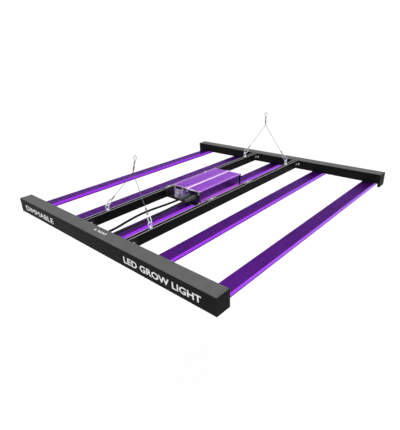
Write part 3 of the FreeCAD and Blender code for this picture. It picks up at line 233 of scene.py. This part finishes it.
def rib_depth_group():
    """Painted shade mask: how deep a point lies between the ribs of a light bar, 0 at rib tops, 1 at
    the slab.
    """
    group, start, end = new_group(
        "rib_depth",
        [("Pitch", "NodeSocketFloat", 0.2024), ("Half Width", "NodeSocketFloat", 0.0208),
         ("Rib Top", "NodeSocketFloat", 0.01285), ("Slab Top", "NodeSocketFloat", 0.0113)],
        [("Mask", "NodeSocketFloat")])
    link = group.links.new
    place = add_node(group, "ShaderNodeTexCoord")
    split = add_node(group, "ShaderNodeSeparateXYZ")
    link(place.outputs["Object"], split.inputs[0])
    half_pitch = add_node(group, "ShaderNodeMath", {1: 0.5}, operation="MULTIPLY")
    link(start.outputs["Pitch"], half_pitch.inputs[0])
    wrapped = add_node(group, "ShaderNodeMath", operation="WRAP")
    link(split.outputs["X"], wrapped.inputs[0])
    link(half_pitch.outputs[0], wrapped.inputs[1])
    minus = add_node(group, "ShaderNodeMath", {1: -1.0}, operation="MULTIPLY")
    link(half_pitch.outputs[0], minus.inputs[0])
    link(minus.outputs[0], wrapped.inputs[2])
    size = add_node(group, "ShaderNodeMath", operation="ABSOLUTE")
    link(wrapped.outputs[0], size.inputs[0])
    inside = add_node(group, "ShaderNodeMath", operation="LESS_THAN")
    link(size.outputs[0], inside.inputs[0])
    link(start.outputs["Half Width"], inside.inputs[1])
    depth = add_node(group, "ShaderNodeMapRange", {"To Min": 0.0, "To Max": 1.0})
    link(split.outputs["Z"], depth.inputs["Value"])
    link(start.outputs["Rib Top"], depth.inputs["From Min"])
    link(start.outputs["Slab Top"], depth.inputs["From Max"])
    product = add_node(group, "ShaderNodeMath", operation="MULTIPLY")
    link(inside.outputs[0], product.inputs[0])
    link(depth.outputs["Result"], product.inputs[1])
    link(product.outputs[0], end.inputs["Mask"])
    return group


def sloped_group():
    """Painted light and shade mask: 1 on faces whose normal leans along X past the given share, above
    a height.
    """
    group, start, end = new_group(
        "sloped_faces",
        [("Least", "NodeSocketFloat", 0.4), ("Most", "NodeSocketFloat", 0.9),
         ("Above", "NodeSocketFloat", -1.0)],
        [("Mask", "NodeSocketFloat")])
    link = group.links.new
    flat = add_node(group, "ShaderNodeNewGeometry")
    normal = add_node(group, "ShaderNodeSeparateXYZ")
    link(flat.outputs["Normal"], normal.inputs[0])
    size = add_node(group, "ShaderNodeMath", operation="ABSOLUTE")
    link(normal.outputs["X"], size.inputs[0])
    over = add_node(group, "ShaderNodeMath", operation="GREATER_THAN")
    link(size.outputs[0], over.inputs[0])
    link(start.outputs["Least"], over.inputs[1])
    under = add_node(group, "ShaderNodeMath", operation="LESS_THAN")
    link(size.outputs[0], under.inputs[0])
    link(start.outputs["Most"], under.inputs[1])
    place = add_node(group, "ShaderNodeTexCoord")
    height = add_node(group, "ShaderNodeSeparateXYZ")
    link(place.outputs["Object"], height.inputs[0])
    high = add_node(group, "ShaderNodeMath", operation="GREATER_THAN")
    link(height.outputs["Z"], high.inputs[0])
    link(start.outputs["Above"], high.inputs[1])
    both = add_node(group, "ShaderNodeMath", operation="MULTIPLY")
    link(over.outputs[0], both.inputs[0])
    link(under.outputs[0], both.inputs[1])
    last = add_node(group, "ShaderNodeMath", operation="MULTIPLY")
    link(both.outputs[0], last.inputs[0])
    link(high.outputs[0], last.inputs[1])
    link(last.outputs[0], end.inputs["Mask"])
    return group


GRAINED = grained_colour_group()
RIBS = rib_depth_group()
SLOPED = sloped_group()
FACING = facing_up_group()
BAND = band_group()
DRAWN = drawn_lines_group()
EDGE_HIGHLIGHT = painted_edge_highlight_group()


def place_group(tree, group, values=None):
    node = tree.nodes.new("ShaderNodeGroup")
    node.node_tree = group
    for key, value in (values or {}).items():
        node.inputs[key].default_value = value
    return node


def colour(red, green, blue):
    return (red, green, blue, 1.0)


def finish_of(name, base, second, roughness, metallic=0.0, amount=0.5, drift=8.0, speck=600.0,
              rough_spread=0.08, lines=None, line_height=0.00002, bump_scale=None,
              bump_height=0.00003, edge=None, edge_amount=0.5, edge_width=0.0006,
              top=None, top_above=-1.0, bands=(), ribs=None, sloped=(), rear_painted_shade=None,
              dull_slopes=False, **shader):
    """A material: grained colour, uneven roughness, drawn lines or fine bumps, painted edge
    highlights.

    top is the colour of painted light on faces that look up, from the height top_above on;
    bands are (axis, low, high, colour) for slices of the piece in another tone, used below for
    painted shade and painted highlights; ribs is painted shade deep between the ribs of a light
    bar; sloped is (least, most, above, colour) for painted highlights and reflections on slanted
    faces, and dull_slopes makes the last of them less like a mirror; rear_painted_shade is a band of
    painted shade on the side faces alone.
    """
    material = bpy.data.materials.new(name)
    material.use_nodes = True
    tree = material.node_tree
    link = tree.links.new
    surface = tree.nodes["Principled BSDF"]
    surface.inputs["Metallic"].default_value = metallic
    for socket, value in shader.items():
        surface.inputs[socket.replace("_", " ")].default_value = value
    grain = place_group(tree, GRAINED, {"Colour": base, "Second Colour": second, "Amount": amount,
                                        "Drift Scale": drift, "Speck Scale": speck})
    last_colour = grain.outputs["Colour"]
    # Painted highlight: the lighter edge colour laid along the outer edges of the piece.
    if edge is not None:
        edge_highlight_mask = place_group(tree, EDGE_HIGHLIGHT, {"Width": edge_width})
        share = add_node(tree, "ShaderNodeMath", operation="MULTIPLY")
        share.inputs[1].default_value = edge_amount
        link(edge_highlight_mask.outputs["Mask"], share.inputs[0])
        mix = add_node(tree, "ShaderNodeMix", data_type="RGBA")
        link(share.outputs[0], mix.inputs["Factor"])
        link(last_colour, mix.inputs[6])
        mix.inputs[7].default_value = edge
        last_colour = mix.outputs[2]
    # Painted light: faces that look up take the lighter top colour, as if lit from above.
    if top is not None:
        facing = place_group(tree, FACING, {"Above": top_above})
        mix = add_node(tree, "ShaderNodeMix", data_type="RGBA")
        link(facing.outputs["Mask"], mix.inputs["Factor"])
        link(last_colour, mix.inputs[6])
        mix.inputs[7].default_value = top
        last_colour = mix.outputs[2]
    # Painted shade deep between the ribs, and painted highlights and reflections on slanted faces.
    areas = [(RIBS, {}, ribs)] if ribs else []
    areas += [(SLOPED, dict(zip(("Least", "Most", "Above"), part)), part[3]) for part in sloped]
    for group, values, tone in areas:
        chosen = place_group(tree, group, values)
        if dull_slopes:
            duller = add_node(tree, "ShaderNodeMapRange", {"To Min": metallic, "To Max": 0.0})
            link(chosen.outputs["Mask"], duller.inputs["Value"])
            link(duller.outputs["Result"], surface.inputs["Metallic"])
        mix = add_node(tree, "ShaderNodeMix", data_type="RGBA")
        link(chosen.outputs["Mask"], mix.inputs["Factor"])
        link(last_colour, mix.inputs[6])
        mix.inputs[7].default_value = tone
        last_colour = mix.outputs[2]
    for axis, low, high, tone in bands:
        slice_of = place_group(tree, BAND, {"Low": low, "High": high})
        for letter in "XYZ":
            slice_of.inputs[letter].default_value = 1.0 if letter == axis else 0.0
        mix = add_node(tree, "ShaderNodeMix", data_type="RGBA")
        link(slice_of.outputs["Mask"], mix.inputs["Factor"])
        link(last_colour, mix.inputs[6])
        mix.inputs[7].default_value = tone
        last_colour = mix.outputs[2]
    # Painted shade: a near-black band over the rear end of the side faces.
    if rear_painted_shade is not None:
        axis, low, high, tone = rear_painted_shade
        slice_of = place_group(tree, BAND, {"Low": low, "High": high, "X": 0.0, "Y": 0.0, "Z": 0.0})
        slice_of.inputs[axis].default_value = 1.0
        sides = place_group(tree, SLOPED, {"Least": 0.85, "Most": 1.1, "Above": -1.0})
        both = add_node(tree, "ShaderNodeMath", operation="MULTIPLY")
        link(slice_of.outputs["Mask"], both.inputs[0])
        link(sides.outputs["Mask"], both.inputs[1])
        mix = add_node(tree, "ShaderNodeMix", data_type="RGBA")
        link(both.outputs[0], mix.inputs["Factor"])
        link(last_colour, mix.inputs[6])
        mix.inputs[7].default_value = tone
        last_colour = mix.outputs[2]
    link(last_colour, surface.inputs["Base Color"])
    uneven = add_node(tree, "ShaderNodeMapRange",
                      {"To Min": max(0.02, roughness - rough_spread),
                       "To Max": min(1.0, roughness + rough_spread)})
    link(grain.outputs["Mask"], uneven.inputs["Value"])
    link(uneven.outputs["Result"], surface.inputs["Roughness"])
    last_normal = None
    if lines is not None:
        drawn = place_group(tree, DRAWN, {"Stretch": lines})
        bump = add_node(tree, "ShaderNodeBump", {"Strength": 1.0, "Distance": line_height})
        link(drawn.outputs["Height"], bump.inputs["Height"])
        last_normal = bump.outputs["Normal"]
    if bump_scale is not None:
        place = add_node(tree, "ShaderNodeTexCoord")
        noise = add_node(tree, "ShaderNodeTexNoise", {"Scale": bump_scale, "Detail": 2.0})
        link(place.outputs["Object"], noise.inputs["Vector"])
        bump = add_node(tree, "ShaderNodeBump", {"Strength": 1.0, "Distance": bump_height})
        link(noise.outputs["Fac"], bump.inputs["Height"])
        if last_normal is not None:
            link(last_normal, bump.inputs["Normal"])
        last_normal = bump.outputs["Normal"]
    if last_normal is not None:
        link(last_normal, surface.inputs["Normal"])
    return material


# --------------------------------------------------------------------------------------------
# Finishes
# --------------------------------------------------------------------------------------------
ALONG_Y = (1400.0, 10.0, 1400.0)

# Light bars: painted shade between the ribs and along the foot of the bar, and a painted highlight
# along the edges.
violet_fins = finish_of(
    "violet_anodised_heat_sink", colour(0.36, 0.035, 0.86), colour(0.30, 0.028, 0.74), 0.30,
    metallic=0.92, amount=0.5, drift=5.0, lines=ALONG_Y, line_height=0.000012,
    edge=colour(0.6, 0.3, 0.98), edge_amount=0.25, edge_width=0.0003,
    ribs=colour(0.008, 0.003, 0.02), bands=[("Z", -0.001, 0.0042, colour(0.035, 0.01, 0.08))])
# Driver case: painted light on the top, painted highlights on the edges, the bevels and the front and
# rear top edges, a painted reflection on the lower side slopes, and painted shade at the rear of the
# sides.
violet_case = finish_of(
    "violet_anodised_driver", colour(0.33, 0.06, 0.72), colour(0.26, 0.045, 0.6), 0.28,
    metallic=0.9, amount=0.5, drift=9.0, lines=ALONG_Y, line_height=0.000012,
    edge=colour(0.85, 0.5, 0.99), edge_amount=0.4, edge_width=0.0005,
    top=colour(0.52, 0.085, 0.95), top_above=0.068,
    sloped=[(0.4, 0.9, 0.0685, colour(1, 0.85, 1)), (0.9, 0.97, 0.02, colour(0.6, 0.12, 0.95))],
    bands=[("Y", -0.1135, -0.1104, colour(1.0, 0.82, 1.0)),
           ("Y", 0.1112, 0.1135, colour(0.8, 0.6, 0.98))],
    rear_painted_shade=("Y", 0.0995, 0.12, colour(0.004, 0.004, 0.005)), dull_slopes=True)
# Front plate: painted shadow in a band under the eave, painted shade over its right part, and a
# painted highlight along the edges.
violet_plate = finish_of(
    "violet_anodised_plate", colour(0.24, 0.09, 0.52), colour(0.17, 0.05, 0.4), 0.36,
    metallic=0.85, amount=0.5, drift=20.0, bump_scale=1800.0, bump_height=0.00001,
    edge=colour(0.7, 0.5, 0.95), edge_amount=0.5,
    bands=[("Z", 0.0590, 0.0665, colour(0.006, 0.004, 0.01)),
           ("X", -0.006, 0.06, colour(0.05, 0.02, 0.1))])
# Black beams: painted light on the faces that look up and a painted highlight along the edges.
black_coat = finish_of(
    "black_powder_coat", colour(0.006, 0.006, 0.0065), colour(0.010, 0.010, 0.0105), 0.46,
    amount=0.7, drift=6.0, speck=2200.0, bump_scale=2600.0, bump_height=0.000035,
    edge=colour(0.07, 0.07, 0.072), edge_amount=0.6, edge_width=0.0007,
    top=colour(0.10, 0.102, 0.101), top_above=0.04, Specular_IOR_Level=0.03)
# End caps: painted light on the faces that look up and a painted highlight along the edges.
black_cap = finish_of(
    "black_moulded_cap", colour(0.007, 0.007, 0.0075), colour(0.011, 0.011, 0.0115), 0.5,
    amount=0.6, drift=14.0, speck=1500.0, bump_scale=1400.0, bump_height=0.00005,
    edge=colour(0.06, 0.06, 0.062), edge_amount=0.5,
    top=colour(0.09, 0.091, 0.091), top_above=0.04, Specular_IOR_Level=0.03)
# Rails: a painted highlight on the top faces of the lips and along the edges of the black rail.
rail_black = finish_of(
    "black_anodised_rail", colour(0.004, 0.004, 0.0042), colour(0.007, 0.007, 0.0075), 0.38,
    amount=0.6, drift=6.0, lines=ALONG_Y, line_height=0.00001,
    edge=colour(0.45, 0.45, 0.43), edge_amount=0.5, edge_width=0.0007,
    top=colour(0.30, 0.30, 0.29), top_above=0.0465, Specular_IOR_Level=0.03)
# Brackets: a painted highlight along the edges of the black metal.
bracket_black = finish_of(
    "black_bracket", colour(0.006, 0.006, 0.0065), colour(0.01, 0.01, 0.0105), 0.42,
    amount=0.6, drift=20.0, bump_scale=2000.0, edge=colour(0.15, 0.15, 0.15), edge_amount=0.6,
    Specular_IOR_Level=0.15)
# Strap: black metal, with painted light giving grey faces that look up and a painted highlight along
# the edges.
strap_black = finish_of(
    "black_strap_painted_top", colour(0.012, 0.012, 0.0125), colour(0.02, 0.02, 0.0205), 0.42,
    amount=0.6, drift=20.0, bump_scale=2000.0, edge=colour(0.3, 0.3, 0.3), edge_amount=0.6,
    top=colour(0.16, 0.165, 0.16), top_above=0.045, Specular_IOR_Level=0.2)
zinc = finish_of(
    "zinc_plated_steel", colour(0.72, 0.74, 0.77), colour(0.55, 0.57, 0.6), 0.24,
    metallic=1.0, amount=0.6, drift=60.0, speck=900.0, rough_spread=0.1,
    bump_scale=900.0, bump_height=0.00001)
screw_steel = finish_of(
    "screw_steel", colour(0.62, 0.62, 0.63), colour(0.42, 0.42, 0.43), 0.3,
    metallic=1.0, amount=0.6, drift=90.0, speck=1200.0, rough_spread=0.12)
hook_steel = finish_of(
    "bright_hook_steel", colour(0.8, 0.82, 0.86), colour(0.62, 0.65, 0.7), 0.18,
    metallic=1.0, amount=0.6, drift=80.0, speck=900.0, rough_spread=0.08)
rope_steel = finish_of(
    "galvanised_rope", colour(0.16, 0.165, 0.17), colour(0.06, 0.062, 0.065), 0.45,
    metallic=0.5, amount=0.8, drift=200.0, speck=2500.0)
crimp_metal = finish_of(
    "pressed_crimp", colour(0.3, 0.3, 0.305), colour(0.18, 0.18, 0.185), 0.45,
    metallic=0.8, amount=0.7, drift=150.0, speck=1500.0, bump_scale=700.0)
# Glands: a painted highlight along the edges.
gland_plastic = finish_of(
    "grey_gland_plastic", colour(0.035, 0.045, 0.042), colour(0.055, 0.068, 0.063), 0.42,
    amount=0.6, drift=40.0, bump_scale=1800.0, edge=colour(0.16, 0.19, 0.18), edge_amount=0.5)
lead_sheath = finish_of(
    "black_lead_sheath", colour(0.004, 0.0045, 0.0045), colour(0.008, 0.009, 0.009), 0.4,
    amount=0.6, drift=30.0, speck=1500.0, bump_scale=900.0, bump_height=0.00003,
    Specular_IOR_Level=0.1)
rubber = finish_of(
    "soft_black_rubber", colour(0.014, 0.014, 0.014), colour(0.026, 0.026, 0.026), 0.7,
    amount=0.6, drift=40.0, bump_scale=1600.0)
# Knob: a painted highlight along the edges.
knob_plastic = finish_of(
    "grey_lilac_knob", colour(0.30, 0.27, 0.34), colour(0.22, 0.2, 0.26), 0.38,
    amount=0.5, drift=60.0, bump_scale=1800.0, bump_height=0.00002,
    edge=colour(0.6, 0.56, 0.66), edge_amount=0.5)
turned_shaft = finish_of(
    "turned_shaft", colour(0.6, 0.6, 0.61), colour(0.45, 0.45, 0.46), 0.3,
    metallic=1.0, amount=0.5, drift=80.0, lines=(200.0, 3000.0, 200.0))
control_case = finish_of(
    "blue_control_case", colour(0.02, 0.06, 0.2), colour(0.03, 0.09, 0.28), 0.4,
    amount=0.5, drift=90.0, bump_scale=1500.0)
white_board = finish_of(
    "white_solder_mask", colour(0.82, 0.83, 0.82), colour(0.72, 0.73, 0.71), 0.38,
    amount=0.5, drift=30.0, speck=900.0, bump_scale=1200.0, bump_height=0.00001)
green_board = finish_of(
    "green_solder_mask", colour(0.015, 0.13, 0.05), colour(0.01, 0.08, 0.03), 0.35,
    amount=0.7, drift=120.0, speck=900.0, lines=(300.0, 30.0, 300.0))
transformer_tape = finish_of(
    "taped_transformer", colour(0.45, 0.33, 0.06), colour(0.3, 0.2, 0.03), 0.45,
    amount=0.6, drift=80.0, lines=(60.0, 60.0, 900.0), line_height=0.0001)
capacitor_sleeve = finish_of(
    "capacitor_sleeve", colour(0.02, 0.03, 0.06), colour(0.04, 0.05, 0.09), 0.3,
    amount=0.5, drift=120.0)
white_connector = finish_of(
    "white_connector", colour(0.7, 0.7, 0.66), colour(0.6, 0.6, 0.56), 0.45,
    amount=0.5, drift=90.0, bump_scale=1200.0)
phosphor = finish_of(
    "warm_phosphor", colour(0.85, 0.62, 0.12), colour(0.9, 0.75, 0.3), 0.45,
    amount=0.8, drift=500.0, speck=3000.0)
print_white = finish_of(
    "white_print", colour(0.83, 0.83, 0.83), colour(0.7, 0.7, 0.7), 0.5,
    amount=0.4, drift=60.0, speck=1800.0)
dial_tone = finish_of(
    "dial_plate_lilac", colour(0.42, 0.36, 0.5), colour(0.34, 0.29, 0.42), 0.4,
    amount=0.5, drift=60.0, speck=1500.0)
lens_clear = finish_of(
    "clear_lens", colour(0.93, 0.95, 0.96), colour(0.88, 0.9, 0.92), 0.12,
    amount=0.4, drift=20.0, lines=ALONG_Y, line_height=0.000006,
    Transmission_Weight=1.0, IOR=1.49)

FINISHES = {
    "beam": black_coat, "end_cap": black_cap, "heat_sink": violet_fins, "led_board": white_board,
    "lens": lens_clear, "rail": rail_black, "bracket": bracket_black, "strap": strap_black,
    "screw": screw_steel, "zinc_steel": zinc, "driver_case": violet_case,
    "driver_plate": violet_plate, "knob": knob_plastic, "shaft": turned_shaft,
    "control": control_case, "gland": gland_plastic, "lead": lead_sheath, "grommet": rubber,
    "circuit_board": green_board, "transformer": transformer_tape,
    "capacitor": capacitor_sleeve, "connector": white_connector, "hook": hook_steel,
    "rope": rope_steel, "crimp": crimp_metal,
}
for part in frame["record"]["subparts"]:
    node = frame["nodes"][part["node"]]
    node.data.materials.clear()
    node.data.materials.append(FINISHES[part["material_slot"]])


# --------------------------------------------------------------------------------------------
# Pieces
# --------------------------------------------------------------------------------------------
def add_piece(name, mesh, material, body):
    piece = bpy.data.objects.new(name, mesh)
    scene.collection.objects.link(piece)
    piece.data.materials.append(material)
    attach(piece, body)
    return piece


def lead_line(name, node, route, material):
    """One lead between driver and front beam, a smooth round cord along its route."""
    data = bpy.data.curves.new(name, "CURVE")
    data.dimensions = "3D"
    data.resolution_u = 24
    data.bevel_depth = 3.5 * MM
    data.bevel_resolution = 8
    data.use_fill_caps = True
    spline = data.splines.new("NURBS")
    spline.points.add(len(route) - 1)
    for point, (x, y, z) in zip(spline.points, route):
        point.co = (x * MM, y * MM, z * MM, 1.0)
    spline.order_u = 3
    spline.use_endpoint_u = True
    cord = add_piece(name, data, material, "light")
    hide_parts(node)
    return cord


lead_line("left_driver_lead", "left_lead", [
    (13, -111.5, 46), (13, -199.5, 46), (-4, -287, 44.5), (-3, -353, 40.5),
    (9, -417.4, 38.5), (9, -466.4, 38.5)], lead_sheath)
lead_line("right_driver_lead", "right_lead", [
    (38, -111.5, 46), (38, -199.5, 46), (46, -287, 45), (42, -353, 41),
    (33, -417.4, 38.5), (33, -466.4, 38.5)], lead_sheath)


def led_rows(number):
    """Two rows of LED packages under one board: a white frame round a raised phosphor square."""
    low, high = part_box(f"led_board_{number}")
    middle = (low[0] + high[0]) / 2
    underside = low[2]
    pitch = 12.5 * MM
    count = int((high[1] - low[1] - 10 * MM) / pitch)
    first = (low[1] + high[1]) / 2 - pitch * (count - 1) / 2
    frames = bmesh.new()
    domes = bmesh.new()
    for row in (-9 * MM, 9 * MM):
        for i in range(count):
            centre = Vector((middle + row, first + pitch * i, underside))
            for target, size, depth in ((frames, 3.0 * MM, 0.5 * MM), (domes, 2.1 * MM, 0.7 * MM)):
                at = Matrix.Translation(centre - Vector((0, 0, depth / 2)))
                shape = Matrix.Diagonal((size, size, depth, 1.0))
                bmesh.ops.create_cube(target, size=1.0, matrix=at @ shape)
    for kind, shape, material in (("frames", frames, white_board), ("phosphor", domes, phosphor)):
        mesh = bpy.data.meshes.new(f"led_{kind}_{number}")
        shape.to_mesh(mesh)
        shape.free()
        add_piece(f"led_{kind}_{number}", mesh, material, "light")


for bar_number in range(1, 6):
    led_rows(bar_number)


def printed_words(name, words, left, right, cap_height, facing, weight=0.0):
    """Words printed on a beam, stretched between left and right, as thin raised letters."""
    data = bpy.data.curves.new(name, "FONT")
    data.body = words
    data.size = 1.0
    data.offset = weight
    data.resolution_u = 3
    draft = bpy.data.objects.new(name + "_draft", data)
    scene.collection.objects.link(draft)
    bpy.context.view_layer.update()
    mesh = bpy.data.meshes.new_from_object(draft.evaluated_get(bpy.context.evaluated_depsgraph_get()))
    bpy.data.objects.remove(draft)
    xs = [v.co.x for v in mesh.vertices]
    ys = [v.co.y for v in mesh.vertices]
    x_scale = (right - left) / (max(xs) - min(xs))
    y_scale = cap_height / (max(ys) - min(ys))
    mesh.transform(Matrix.Translation((-min(xs), -(max(ys) + min(ys)) / 2, 0)))
    mesh.transform(Matrix.Diagonal((x_scale, y_scale, 1.0, 1.0)))
    mesh.transform(facing)
    mesh.transform(Matrix.Translation((left, 0, 0)))
    shape = bmesh.new()
    shape.from_mesh(mesh)
    lifted = bmesh.ops.extrude_face_region(shape, geom=shape.faces[:])
    lift = facing.to_3x3() @ Vector((0, 0, 0.06 * MM))
    moved = [item for item in lifted["geom"] if isinstance(item, bmesh.types.BMVert)]
    bmesh.ops.translate(shape, vec=lift, verts=moved)
    bmesh.ops.recalc_face_normals(shape, faces=shape.faces[:])
    shape.to_mesh(mesh)
    shape.free()
    return add_piece(name, mesh, print_white, "light")


front_low, front_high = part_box("front_beam")
on_outer_face = Matrix.Translation((0, front_low[1] - 0.02 * MM, 21.5 * MM)) @ Matrix.Rotation(
    math.radians(90), 4, "X")
on_top_face = Matrix.Translation((0, front_low[1] + 24.5 * MM, front_high[2] + 0.02 * MM))
printed_words("print_left", "DIMMABLE", -0.409, -0.221, 18 * MM, on_outer_face, 0.012)
printed_words("print_right", "LED GROW LIGHT", 0.138, 0.403, 19 * MM, on_outer_face, 0.022)
printed_words("print_top", "FRONT", -0.006, 0.034, 8 * MM, on_top_face, 0.02)


def thin_outline(shape, corners, at, depth):
    """Adds a thin upright plate facing -Y to the mesh; corners are (x, z) from the point at."""
    rings = []
    for y in (0.0, -depth):
        rings.append([shape.verts.new((at[0] + x, at[1] + y, at[2] + z)) for x, z in corners])
    count = len(corners)
    shape.faces.new(rings[1])
    shape.faces.new(list(reversed(rings[0])))
    for i in range(count):
        after = (i + 1) % count
        shape.faces.new([rings[0][i], rings[0][after], rings[1][after], rings[1][i]])


def rounded_corners(half_x, half_z, radius):
    corners = []
    for cx, cz, start in ((1, 1, 0), (-1, 1, 90), (-1, -1, 180), (1, -1, 270)):
        for step in range(7):
            angle = math.radians(start + step * 15)
            corners.append((cx * (half_x - radius) + radius * math.cos(angle),
                            cz * (half_z - radius) + radius * math.sin(angle)))
    return corners


def dial_scale():
    """A light plate round the dimmer's knob, with the marks of its scale."""
    plate_low, plate_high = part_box("driver_front_plate")
    knob_low, knob_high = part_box("dimmer_knob")
    centre = ((knob_low[0] + knob_high[0]) / 2, plate_low[1], (knob_low[2] + knob_high[2]) / 2)
    shape = bmesh.new()
    thin_outline(shape, rounded_corners(19 * MM, 17.3 * MM, 3 * MM), centre, 0.12 * MM)
    mesh = bpy.data.meshes.new("dial_plate")
    shape.to_mesh(mesh)
    shape.free()
    add_piece("dial_plate", mesh, dial_tone, "light")
    shape = bmesh.new()
    for step in range(11):
        angle = math.radians(225 - 27 * step)
        inner, outer = 11.6 * MM, (14.0 if step % 5 == 0 else 13.0) * MM
        side = 0.3 * MM
        along = (math.cos(angle), math.sin(angle))
        across = (-along[1] * side, along[0] * side)
        corners = [(along[0] * inner - across[0], along[1] * inner - across[1]),
                   (along[0] * outer - across[0], along[1] * outer - across[1]),
                   (along[0] * outer + across[0], along[1] * outer + across[1]),
                   (along[0] * inner + across[0], along[1] * inner + across[1])]
        thin_outline(shape, corners, (centre[0], centre[1] - 0.12 * MM, centre[2]), 0.05 * MM)
    mesh = bpy.data.meshes.new("dial_marks")
    shape.to_mesh(mesh)
    shape.free()
    add_piece("dial_marks", mesh, rubber, "light")


dial_scale()


def arrow_mark():
    """A small arrow on top of the front beam, which points to the front."""
    shape = bmesh.new()
    at = (-17.5 * MM, front_low[1] + 24.5 * MM, front_high[2] + 0.02 * MM)
    outline = [(-1.4, 4), (1.4, 4), (1.4, 0), (4.4, 0), (0, -4.6), (-4.4, 0), (-1.4, 0)]
    rings = [[shape.verts.new((at[0] + x * MM, at[1] + y * MM, at[2] + z)) for x, y in outline]
             for z in (0.0, 0.06 * MM)]
    shape.faces.new(list(reversed(rings[1])))
    for i in range(len(outline)):
        after = (i + 1) % len(outline)
        shape.faces.new([rings[0][i], rings[0][after], rings[1][after], rings[1][i]])
    bmesh.ops.recalc_face_normals(shape, faces=shape.faces[:])
    mesh = bpy.data.meshes.new("print_arrow")
    shape.to_mesh(mesh)
    shape.free()
    add_piece("print_arrow", mesh, print_white, "light")


arrow_mark()


# --------------------------------------------------------------------------------------------
# Stage, light and camera
# --------------------------------------------------------------------------------------------
def build_stage():
    """A wide pale floor, well below the light, which hangs over it."""
    mesh = bpy.data.meshes.new("floor")
    half = 40.0
    mesh.from_pydata([(-half, -half, 0), (half, -half, 0), (half, half, 0), (-half, half, 0)], [],
                     [(0, 1, 2, 3)])
    floor = bpy.data.objects.new("floor", mesh)
    scene.collection.objects.link(floor)
    floor.location.z = -0.9
    material = bpy.data.materials.new("pale_floor")
    material.use_nodes = True
    surface = material.node_tree.nodes["Principled BSDF"]
    surface.inputs["Base Color"].default_value = (0.9, 0.9, 0.9, 1)
    surface.inputs["Roughness"].default_value = 0.9
    surface.inputs["Specular IOR Level"].default_value = 0.1
    mesh.materials.append(material)


def build_world():
    """A studio of light: white round the horizon, dimmer above it, and bright overhead."""
    world = bpy.data.worlds.new("studio")
    scene.world = world
    world.use_nodes = True
    tree = world.node_tree
    link = tree.links.new
    background = tree.nodes["Background"]
    place = add_node(tree, "ShaderNodeTexCoord")
    split = add_node(tree, "ShaderNodeSeparateXYZ")
    link(place.outputs["Generated"], split.inputs[0])
    ramp = add_node(tree, "ShaderNodeValToRGB")
    ramp.color_ramp.elements[0].position = 0.22
    ramp.color_ramp.elements[0].color = (0.72, 0.72, 0.72, 1)
    ramp.color_ramp.elements[1].position = 0.9
    ramp.color_ramp.elements[1].color = (1.0, 1.0, 1.0, 1)
    for position, grey in ((0.34, 0.24), (0.55, 0.26), (0.72, 0.85)):
        step = ramp.color_ramp.elements.new(position)
        step.color = (grey, grey, grey, 1)
    link(split.outputs["Z"], ramp.inputs["Fac"])
    link(ramp.outputs["Color"], background.inputs["Color"])
    background.inputs["Strength"].default_value = 1.62


def add_softbox(name, at, aim, size, power):
    data = bpy.data.lights.new(name, "AREA")
    data.shape = "RECTANGLE"
    data.size, data.size_y = size
    data.energy = power
    lamp = bpy.data.objects.new(name, data)
    scene.collection.objects.link(lamp)
    lamp.location = at
    lamp.rotation_mode = "QUATERNION"
    lamp.rotation_quaternion = (Vector(aim) - Vector(at)).to_track_quat("-Z", "Y")


def build_camera():
    data = bpy.data.cameras.new("camera")
    data.sensor_fit = "AUTO"
    data.sensor_width = 36.0
    data.lens = 31.28
    data.clip_start = 0.01
    data.clip_end = 200.0
    camera = bpy.data.objects.new("camera", data)
    scene.collection.objects.link(camera)
    right = Vector((0.73880, 0.67258, -0.04254))
    up = Vector((-0.25195, 0.33420, 0.90820))
    back = Vector((0.62505, -0.66026, 0.41637))
    turned = Matrix((right, up, back)).transposed()
    camera.matrix_world = Matrix.Translation((0.8421, -0.9404, 0.5073)) @ turned.to_4x4()
    scene.camera = camera


build_stage()
build_world()
add_softbox("overhead_softbox", (0.4, 0.2, 2.4), (0, 0, 0), (2.2, 2.2), 25.0)
build_camera()
scene.view_settings.view_transform = "Standard"
